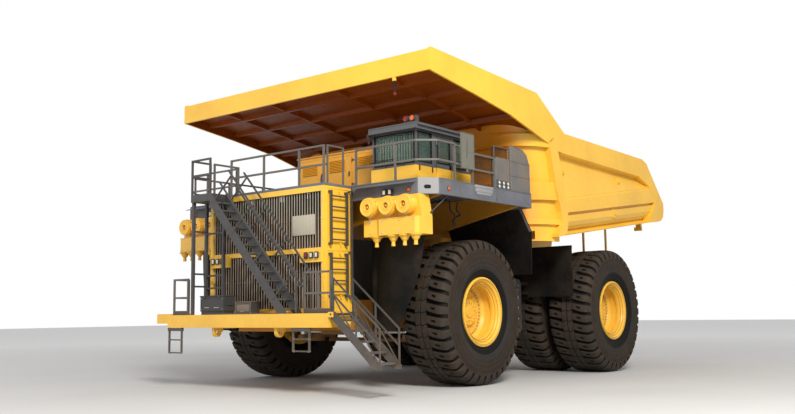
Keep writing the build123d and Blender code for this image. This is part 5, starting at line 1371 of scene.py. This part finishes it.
def make_bumper_trim():
    """Lids, latches and slots of the boxes on the bumper, and the bumper's seams and bolts."""
    shape = bmesh.new()
    add_span(shape, (-1.915, -0.885), (-8.02, -7.58), (2.525, 2.552), 0.008)
    add_frame_y(shape, -8.012, -7.998, -1.86, -0.94, 2.16, 2.49, 0.022)
    for x in (-1.72, -1.08):
        add_span(shape, (x - 0.03, x + 0.03), (-8.03, -8.0), (2.47, 2.55), 0.005)
    for x in (-1.7, -1.1):
        add_rod(shape, (x - 0.05, -7.59, 2.535), (x + 0.05, -7.59, 2.535), 0.018, steps=10)
    add_span(shape, (-0.885, -0.87), (-7.9, -7.7), (2.28, 2.32), 0.004)
    piece("tool_box_lid", shape, box_paint, "chassis", "black_box")

    shape = bmesh.new()
    for x in (-1.62, -1.22):
        add_span(shape, (x - 0.10, x + 0.10), (-8.008, -7.998), (2.215, 2.232), 0.002)
    for x in (-1.84, -0.96):
        for z in (2.18, 2.47):
            add_bolt(shape, (x, -8.012, z), (0, -1, 0), 0.010)
    for x in (-0.42, 0.16):
        for z in (2.07, 2.32):
            add_bolt(shape, (x, -8.0, z), (0, -1, 0), 0.010)
    for x in (-0.20, -0.12):
        add_dome(shape, (x, -8.004, 2.10), (0, -1, 0), 0.016, 0.008, 14)
    piece("bumper_box_fixings", shape, zinc, "chassis", "black_box")

    shape = bmesh.new()
    add_frame_y(shape, -8.010, -7.998, -0.41, 0.15, 2.07, 2.32, 0.016)
    add_span(shape, (-0.38, 0.12), (-8.006, -7.998), (2.10, 2.29), 0.003)
    add_span(shape, (-0.47, 0.21), (-8.015, -7.69), (2.352, 2.368), 0.005)
    piece("small_box_cover", shape, small_box_paint, "chassis", "black_box")

    shape = bmesh.new()
    add_dome(shape, (-0.45, -7.88, 2.24), (-1, 0, 0), 0.035, 0.04, 18)
    piece("cut_off_button", shape, red_lens, "chassis", "black_box")

    shape = bmesh.new()
    for z in (1.695, 2.012):
        add_span(shape, (-3.225, 3.045), (-8.0995, -8.090), (z - 0.004, z + 0.008), 0.002)
    for side in sides.values():
        add_span(shape, (side * 1.08, side * 1.22), (-8.05, -7.4), (1.655, 1.685), 0.006)
    add_span(shape, (-2.2, 3.04), (-7.50, -7.44), (2.028, 2.10), 0.006)
    for x in (-2.9, -2.1, -1.3, -0.5, 0.4, 1.0, 2.6, 2.95):
        add_bolt(shape, (x, -7.62, 2.03), (0, 0, 1), 0.016)
    for y in (-7.95, -7.45):
        for z in (1.78, 1.93):
            add_bolt(shape, (3.05, y, z), (1, 0, 0), 0.014)
    piece("bumper_seams", shape, yellow_paint, "chassis", "yellow_paint")

    shape = bmesh.new()
    add_span(shape, (-3.16, -2.58), (-7.950, -7.9405), (2.031, 2.15), 0.003)
    add_span(shape, (2.10, 2.96), (-7.950, -7.9405), (2.03, 2.15), 0.003)
    add_span(shape, (-1.50, 1.60), (-8.06, -8.05), (2.03, 2.06), 0.003)
    piece("toe_plates", shape, stair_paint, "chassis", "rail_paint")


# ---- Air cleaners -------------------------------------------------------------------------------
def make_air_cleaner_trim():
    """Rings, recesses, clamps and drains of the round cleaners, and the bolts of the boxes under them."""
    rings, dark, bright = bmesh.new(), bmesh.new(), bmesh.new()
    for side in sides.values():
        for x in (3.14, 3.76, 4.33):
            x *= side
            face = (x, -6.72, 4.72)
            add_ring(rings, face, (0, -1, 0), 0.080, 0.104, 0.014, 40)
            add_ring(rings, face, (0, -1, 0), 0.196, 0.232, 0.010, 48)
            add_ring(rings, face, (0, -1, 0), 0.140, 0.150, 0.006, 48)
            add_ring(rings, (x, -6.60, 4.72), (0, -1, 0), 0.226, 0.258, 0.022, 48)
            add_ring(rings, (x, -6.46, 4.72), (0, -1, 0), 0.226, 0.240, 0.030, 48)
            # Dark discs in shaded yellow paint: painted shade at the bottom of the cleaners' recesses.
            add_turned(dark, [(0, 0.07), (0.006, 0.07), (0.012, 0.05), (0.013, 0.0)], (x, -6.681, 4.72),
                       (0, -1, 0), 24)
            add_bolt(rings, (x, -6.694, 4.72), (0, -1, 0), 0.020)
            for turn in (0.6, 2.7, 4.7):
                spot = Vector((x + 0.245 * cos(turn), -6.64, 4.72 + 0.245 * sin(turn)))
                add_span(bright, (spot.x - 0.014, spot.x + 0.014), (-6.66, -6.58),
                         (spot.z - 0.014, spot.z + 0.014), 0.004)
            add_rod(bright, (x, -6.60, 4.48), (x, -6.60, 4.33), 0.009, steps=8)
        for x in (3.28, 3.83, 4.20, 4.55):
            x *= side
            add_ring(rings, (x, -6.50, 3.955), (0, 0, -1), 0.13, 0.168, 0.022, 32)
            add_ring(rings, (x, -6.50, 3.84), (0, 0, -1), 0.046, 0.062, 0.030, 24)
            add_turned(rings, [(0, 0.05), (0.02, 0.056), (0.04, 0.05)], (x, -6.50, 3.735), (0, 0, -1), 20)
        for x in (3.56, 4.12, 4.55):
            for z in (4.04, 4.33):
                add_bolt(bright, (side * x, -6.62, z), (0, -1, 0), 0.016)
        add_bolt(bright, (side * 3.08, -6.53, 4.04), (0, -1, 0), 0.014)
        add_bolt(bright, (side * 3.08, -6.53, 4.33), (0, -1, 0), 0.014)
        add_span(rings, (side * 3.44, side * 4.63), (-6.628, -6.618), (4.383, 4.402), 0.003)
        add_span(rings, (side * 3.44, side * 4.63), (-6.628, -6.618), (3.972, 3.990), 0.003)
    piece("air_cleaner_rings", rings, yellow_paint, "chassis", "yellow_paint")
    piece("air_cleaner_recess_shade", dark, shade_paint, "chassis", "yellow_paint")
    piece("air_cleaner_clamps", bright, zinc, "chassis", "yellow_paint")


# ---- Cabinet and tanks --------------------------------------------------------------------------
def make_cabinet_trim():
    """Doors' louvres, hinges and handles of the control cabinet, and its roof lip."""
    shape = bmesh.new()
    add_span(shape, (-1.02, 2.32), (-5.13, -3.58), (6.615, 6.66), 0.012)
    for x0 in (-0.97, 0.12, 1.21):
        add_frame_y(shape, -5.126, -5.116, x0 + 0.05, x0 + 1.01, 5.54, 6.53, 0.018)
        for k in range(8):
            z = 6.10 + k * 0.045
            points = [(x0 + 0.22, -5.118, z), (x0 + 0.22, -5.150, z), (x0 + 0.22, -5.118, z + 0.035)]
            add_outline(shape, points, (0.60, 0, 0))
    for y0 in (-4.95, -4.3):
        add_frame_x(shape, 2.295, 2.31, y0, y0 + 0.55, 5.5, 6.5, 0.02)
        add_frame_x(shape, -1.01, -0.995, y0, y0 + 0.55, 5.5, 6.5, 0.02)
    # The panels take the cabinet's deeper orange, which is painted shade.
    piece("cabinet_panels", shape, cabinet_shade_paint, "chassis", "yellow_paint")
    shape = bmesh.new()
    for x0 in (-0.97, 0.12, 1.21):
        for z in (5.68, 6.38):
            add_rod(shape, (x0 + 0.012, -5.135, z - 0.05), (x0 + 0.012, -5.135, z + 0.05), 0.014, steps=10)
            add_span(shape, (x0 + 0.01, x0 + 0.09), (-5.126, -5.118), (z - 0.03, z + 0.03), 0.003)
        add_span(shape, (x0 + 0.97, x0 + 1.01), (-5.135, -5.117), (5.93, 6.07), 0.006)
        add_tube(shape, [(x0 + 0.99, -5.13, 6.04), (x0 + 0.99, -5.165, 6.03), (x0 + 0.99, -5.165, 5.95)],
                 0.009)
    for y in (-4.9, -3.8):
        for z in (5.62, 6.42):
            add_span(shape, (2.298, 2.325), (y - 0.02, y + 0.06), (z - 0.025, z + 0.025), 0.004)
    piece("cabinet_hinges", shape, stair_paint, "chassis", "yellow_paint")


def make_tank_trim():
    """Straps, filler caps and level gauges of the tanks between the wheels."""
    shape, bright = bmesh.new(), bmesh.new()
    for side in sides.values():
        for x in (2.15, 2.7):
            x *= side
            y0, y1, z0, z1, r = -0.15, 1.13, 1.35, 3.05, 0.18
            line = []
            for cy, cz, start in ((y1 - r, z1 - r, 0), (y0 + r, z1 - r, 90), (y0 + r, z0 + r, 180),
                                  (y1 - r, z0 + r, 270)):
                for k in range(5):
                    turn = radians(start + k * 22.5)
                    line.append((cy + r * cos(turn), cz + r * sin(turn), cos(turn), sin(turn)))
            inner = [(x - 0.04, y, z) for y, z, ny, nz in line]
            outer = [(x - 0.04, y + ny * 0.010, z + nz * 0.010) for y, z, ny, nz in line]
            rows = [[shape.verts.new((px + dx, py, pz)) for px, py, pz in loop]
                    for loop, dx in ((inner, 0), (outer, 0), (outer, 0.08), (inner, 0.08))]
            for low, high in zip(rows, rows[1:] + rows[:1]):
                for k in range(len(low)):
                    onward = (k + 1) % len(low)
                    shape.faces.new([low[k], low[onward], high[onward], high[k]])
        add_turned(shape, [(0, 0.09), (0.08, 0.09), (0.085, 0.12), (0.12, 0.12), (0.13, 0.10)],
                   (side * 2.43, 0.49, 3.04), (0, 0, 1), 24)
        face = side * 2.90
        add_rod(bright, (face + side * 0.02, 0.9, 1.7), (face + side * 0.02, 0.9, 2.7), 0.014, steps=10)
        for z in (1.7, 2.7):
            add_turned(bright, [(0, 0.03), (0.03, 0.03), (0.035, 0.02)], (face - side * 0.002, 0.9, z),
                       (side, 0, 0), 14)
        for y in (0.0, 0.98):
            for z in (1.55, 2.85):
                add_bolt(bright, (face, y, z), (side, 0, 0), 0.018)
        add_ring(shape, (face, 0.45, 2.2), (side, 0, 0), 0.20, 0.28, 0.015, 32)
        add_dome(shape, (face, 0.45, 2.2), (side, 0, 0), 0.205, 0.02, 28)
    piece("tank_straps", shape, stair_paint, "chassis", "black_box")
    piece("tank_gauges", bright, zinc, "chassis", "black_box")


# ---- Shields, chassis and axle ------------------------------------------------------------------
guard_top, guard_foot = (-1.50, 4.98), (-0.54, 3.12)  # (y, z) of a mudguard's front face


def guard_y(z, proud=0.0):
    """The mudguard's front face at a height."""
    share = (guard_top[1] - z) / (guard_top[1] - guard_foot[1])
    return guard_top[0] + share * (guard_foot[0] - guard_top[0]) - proud


def make_shield_trim():
    """Edge strips and rivets of the mudguards and the bolts of the flaps behind them."""
    shape, rivets = bmesh.new(), bmesh.new()
    out = Vector((0, -0.89, -0.46))
    for side in sides.values():
        edge = [(4.575, 4.975), (4.695, 4.345), (4.635, 4.335), (4.515, 4.975)]
        face = [(side * x, guard_y(z), z) for x, z in edge]
        add_outline(shape, face, out * 0.012)
        face = [(side * x, guard_y(z), z)
                for x, z in ((1.83, 4.38), (4.64, 4.38), (4.63, 4.33), (1.83, 4.33))]
        add_outline(rivets, face, out * 0.008)
        for k in range(15):
            x = 1.9 + k * 0.19
            add_dome(rivets, Vector((side * x, guard_y(4.355), 4.355)) + out * 0.008, out, 0.014, 0.008, 10)
        for x in (2.615, 3.315, 4.015):
            for z in (3.3, 3.55, 3.8, 4.05):
                add_dome(rivets, (side * x, guard_y(z), z), out, 0.014, 0.008, 10)
        for k in range(12):
            add_bolt(rivets, (side * (1.9 + k * 0.228), 1.64, 4.04), (0, -1, 0), 0.014)
        add_span(rivets, (side * 2.58, side * 2.745), (-5.872, -5.85), (1.60, 3.95), 0.004)
    piece("mudguard_edges", shape, deck_edge_paint, "chassis", "flap_rubber")
    piece("mudguard_rivets", rivets, flap_rubber, "chassis", "flap_rubber")


def make_chassis_trim():
    """Pipes, clips and hoses along the frame."""
    pipes, clips = bmesh.new(), bmesh.new()
    for side in sides.values():
        x = side * 1.172
        for z in (2.62, 2.68, 2.74):
            add_tube(pipes, smoothed([(x, -0.9, z - 0.25), (x, 0.0, z - 0.2), (x, 1.5, z - 0.05),
                                      (x, 3.0, z)], 4), 0.018)
        for y, z in ((-0.6, 2.45), (1.3, 2.62)):
            add_span(clips, (side * 1.15, side * 1.20), (y - 0.03, y + 0.03), (z - 0.10, z + 0.09), 0.006)
        for y in (-6.9, -6.6, -5.0, -4.7):
            for z in (1.66, 1.94):
                add_bolt(clips, (side * 1.15, y, z), (side, 0, 0), 0.020)
    piece("frame_pipes", pipes, hose_rubber, "chassis", "axle_metal")
    piece("frame_clips", clips, zinc, "chassis", "axle_metal")


# ---- Bed ----------------------------------------------------------------------------------------
bed_span = (0.42, 7.98)  # where the side's levels are given
band_high, rail_low = (5.44, 6.57), (6.86, 6.70)
flange_low = (4.279, 5.288)
band_low = (4.99, 6.01)


def level_at(level, y):
    """A side's level at a distance along the bed."""
    share = (y - bed_span[0]) / (bed_span[1] - bed_span[0])
    return level[0] + share * (level[1] - level[0])


def panel_x(y, z):
    """How far out the side panel's face is."""
    low, high = level_at(band_high, y), level_at(rail_low, y) - 0.05
    return 4.88 - 0.19 * (z - low) / (high - low)


def make_bed_trim():
    """Lifting brackets and weld beads of the dump bed."""
    shape = bmesh.new()
    beads = bmesh.new()
    for side in sides.values():
        for x, y, z in ((panel_x(0.64, 6.28), 0.64, 6.28), (panel_x(4.52, 6.40), 4.52, 6.40),
                        (4.855, 4.05, 5.27)):
            reach = min(0.11, 4.92 - x)
            for dy in (-0.045, 0.025):
                points = [(side * (x - 0.02), y + dy, z - 0.13), (side * (x + reach), y + dy, z - 0.02),
                          (side * (x + reach), y + dy, z + 0.03), (side * (x - 0.02), y + dy, z + 0.11)]
                add_outline(shape, points, (0, 0.02, 0))
            add_rod(shape, (side * (x + reach * 0.55), y - 0.06, z),
                    (side * (x + reach * 0.55), y + 0.06, z), 0.02)
            pad = [(side * (x - 0.004), y - 0.10, z - 0.15), (side * (x - 0.004), y + 0.10, z - 0.15),
                   (side * (x - 0.012), y + 0.10, z + 0.13), (side * (x - 0.012), y - 0.10, z + 0.13)]
            add_outline(shape, pad, (side * 0.014, 0, 0))
        y0, y1 = 0.75, 6.1
        lines = [
            [(panel_x(y, level_at(rail_low, y) - 0.05) + 0.002, y,
              level_at(rail_low, y) - 0.055) for y in (y0, y1)],
            [(4.882, y, level_at(band_high, y) + 0.004) for y in (y0, y1 + 0.6)],
            [(4.784, y, level_at(band_low, y) - 0.004) for y in (y0, y1 + 0.7)],
            [(4.742, y, level_at(flange_low, y) + 0.032) for y in (y0, y1 + 0.6)],
        ]
        for line in lines:
            add_tube(beads, [(side * x, y, z) for x, y, z in line], 0.012, 6)
    piece("bed_lifting_brackets", shape, yellow_paint, "bed", "yellow_paint")
    piece("bed_weld_beads", beads, yellow_paint, "bed", "yellow_paint")


def make_canopy_trim():
    """The stiffeners that run back under the canopy's sheet, and the sight rod that hangs from its lip."""
    shape = bmesh.new()
    under = [(-6.245, 8.371), (-4.29, 8.11), (-2.53, 7.84), (-1.45, 7.57), (-1.0, 7.43)]
    side_view = [(y, z - 0.115) for y, z in under] + [(y, z + 0.01) for y, z in reversed(under)]
    for x in (-3.25, -1.3, 1.3, 3.25):
        add_outline(shape, [(x - 0.035, y, z) for y, z in side_view], (0.07, 0, 0))
    piece("canopy_stiffeners", shape, canopy_paint, "bed", "yellow_paint")

    x, y = 3.74, -6.275
    shape = bmesh.new()
    add_span(shape, (x - 0.05, x + 0.05), (y - 0.03, y + 0.03), (8.03, 8.135), 0.008)
    piece("sight_rod_bracket", shape, yellow_paint, "bed", "yellow_paint")
    shape = bmesh.new()
    add_rod(shape, (x, y, 8.04), (x, y, 7.70), 0.028)
    piece("sight_rod", shape, hose_rubber, "bed", "lamp_housing")
    shape = bmesh.new()
    add_dome(shape, (x + 0.02, y, 7.71), (0, 0, -1), 0.045, 0.07)
    piece("sight_rod_tip", shape, red_lens, "bed", "lamp_housing")


# ---- Floor, light and camera --------------------------------------------------------------------
def make_floor():
    """A pale floor under the truck, greyer near it and whiter far off."""
    shape = bmesh.new()
    reach = 150.0
    corners = [(-reach, -reach, 0), (reach, -reach, 0), (reach, reach, 0), (-reach, reach, 0)]
    shape.faces.new([shape.verts.new(corner) for corner in corners])
    mesh = bpy.data.meshes.new("studio_floor")
    shape.to_mesh(mesh)
    shape.free()
    material, tree, shader = new_finish("pale studio floor", (0.55, 0.55, 0.55), 0.9)
    coords = tree.nodes.new("ShaderNodeTexCoord").outputs["Object"]
    length = tree.nodes.new("ShaderNodeVectorMath")
    length.operation = "LENGTH"
    tree.links.new(coords, length.inputs[0])
    # The greyer floor near the truck dims the light it bounces onto the truck's undersides.
    reach = height_fade(tree, length.outputs["Value"], 9.0, 45.0, 0.0, 1.0)
    near = ramp(tree, noise(tree, coords, 0.2, 3.0), grey(0.53), grey(0.57), 0.3, 0.7)
    tone = blend(tree, reach, near, grey(0.93))
    tree.links.new(tone, shader.inputs["Base Color"])
    mesh.materials.append(material)
    floor = bpy.data.objects.new("studio_floor", mesh)
    bpy.context.collection.objects.link(floor)


def area_light(name, place, aim, size, energy, colour=(1, 1, 1)):
    """A square soft light that faces a point."""
    data = bpy.data.lights.new(name, "AREA")
    data.size = size
    data.energy = energy
    data.color = colour
    light = bpy.data.objects.new(name, data)
    light.location = place
    light.rotation_euler = (Vector(aim) - Vector(place)).to_track_quat("-Z", "Y").to_euler()
    bpy.context.collection.objects.link(light)


def make_studio():
    """A bright sky all round, and a big key light high on the truck's left front."""
    world = bpy.data.worlds.new("studio")
    bpy.context.scene.world = world
    world.use_nodes = True
    background = world.node_tree.nodes["Background"]
    background.inputs["Color"].default_value = (1.0, 1.0, 1.0, 1.0)
    path = world.node_tree.nodes.new("ShaderNodeLightPath")
    strength = world.node_tree.nodes.new("ShaderNodeMapRange")
    strength.inputs["To Min"].default_value = 0.6
    strength.inputs["To Max"].default_value = 1.0
    world.node_tree.links.new(path.outputs["Is Camera Ray"], strength.inputs["Value"])
    world.node_tree.links.new(strength.outputs["Result"], background.inputs["Strength"])
    area_light("key_light", (24, -22, 22), (0, -1, 3), 8, 12500, (1.0, 0.96, 0.90))
    area_light("fill_light", (-22, -26, 10), (0, -3, 3), 14, 900, (0.95, 0.97, 1.0))
    view = bpy.context.scene.view_settings
    view.view_transform = "Standard"
    view.look = "None"


def make_camera():
    """The viewpoint: low at the truck's left front corner."""
    place = Vector((18.25, -24.164, 2.003))
    yaw, pitch, roll = radians(38.942), radians(6.716), radians(-0.733)
    forward = Vector((-sin(yaw) * cos(pitch), cos(yaw) * cos(pitch), sin(pitch)))
    level = Vector((cos(yaw), sin(yaw), 0))
    upright = level.cross(forward)
    right = level * cos(roll) + upright * sin(roll)
    up = -level * sin(roll) + upright * cos(roll)
    data = bpy.data.cameras.new("camera")
    data.sensor_width = 36
    data.lens = 40.9
    data.clip_end = 500
    camera = bpy.data.objects.new("camera", data)
    turn = Matrix((right, up, -forward)).transposed().to_4x4()
    camera.matrix_world = Matrix.Translation(place) @ turn
    bpy.context.collection.objects.link(camera)
    bpy.context.scene.camera = camera


make_tyres()
make_wheel_trim()
make_cab_trim()
make_door_trim()
make_mirror_trim()
make_corner_plates()
make_deck_trim()
make_guard_trim()
make_lamps()
make_grille_trim()
make_stair_trim()
make_bumper_trim()
make_air_cleaner_trim()
make_cabinet_trim()
make_tank_trim()
make_shield_trim()
make_chassis_trim()
make_bed_trim()
make_canopy_trim()
make_floor()
make_studio()
make_camera()
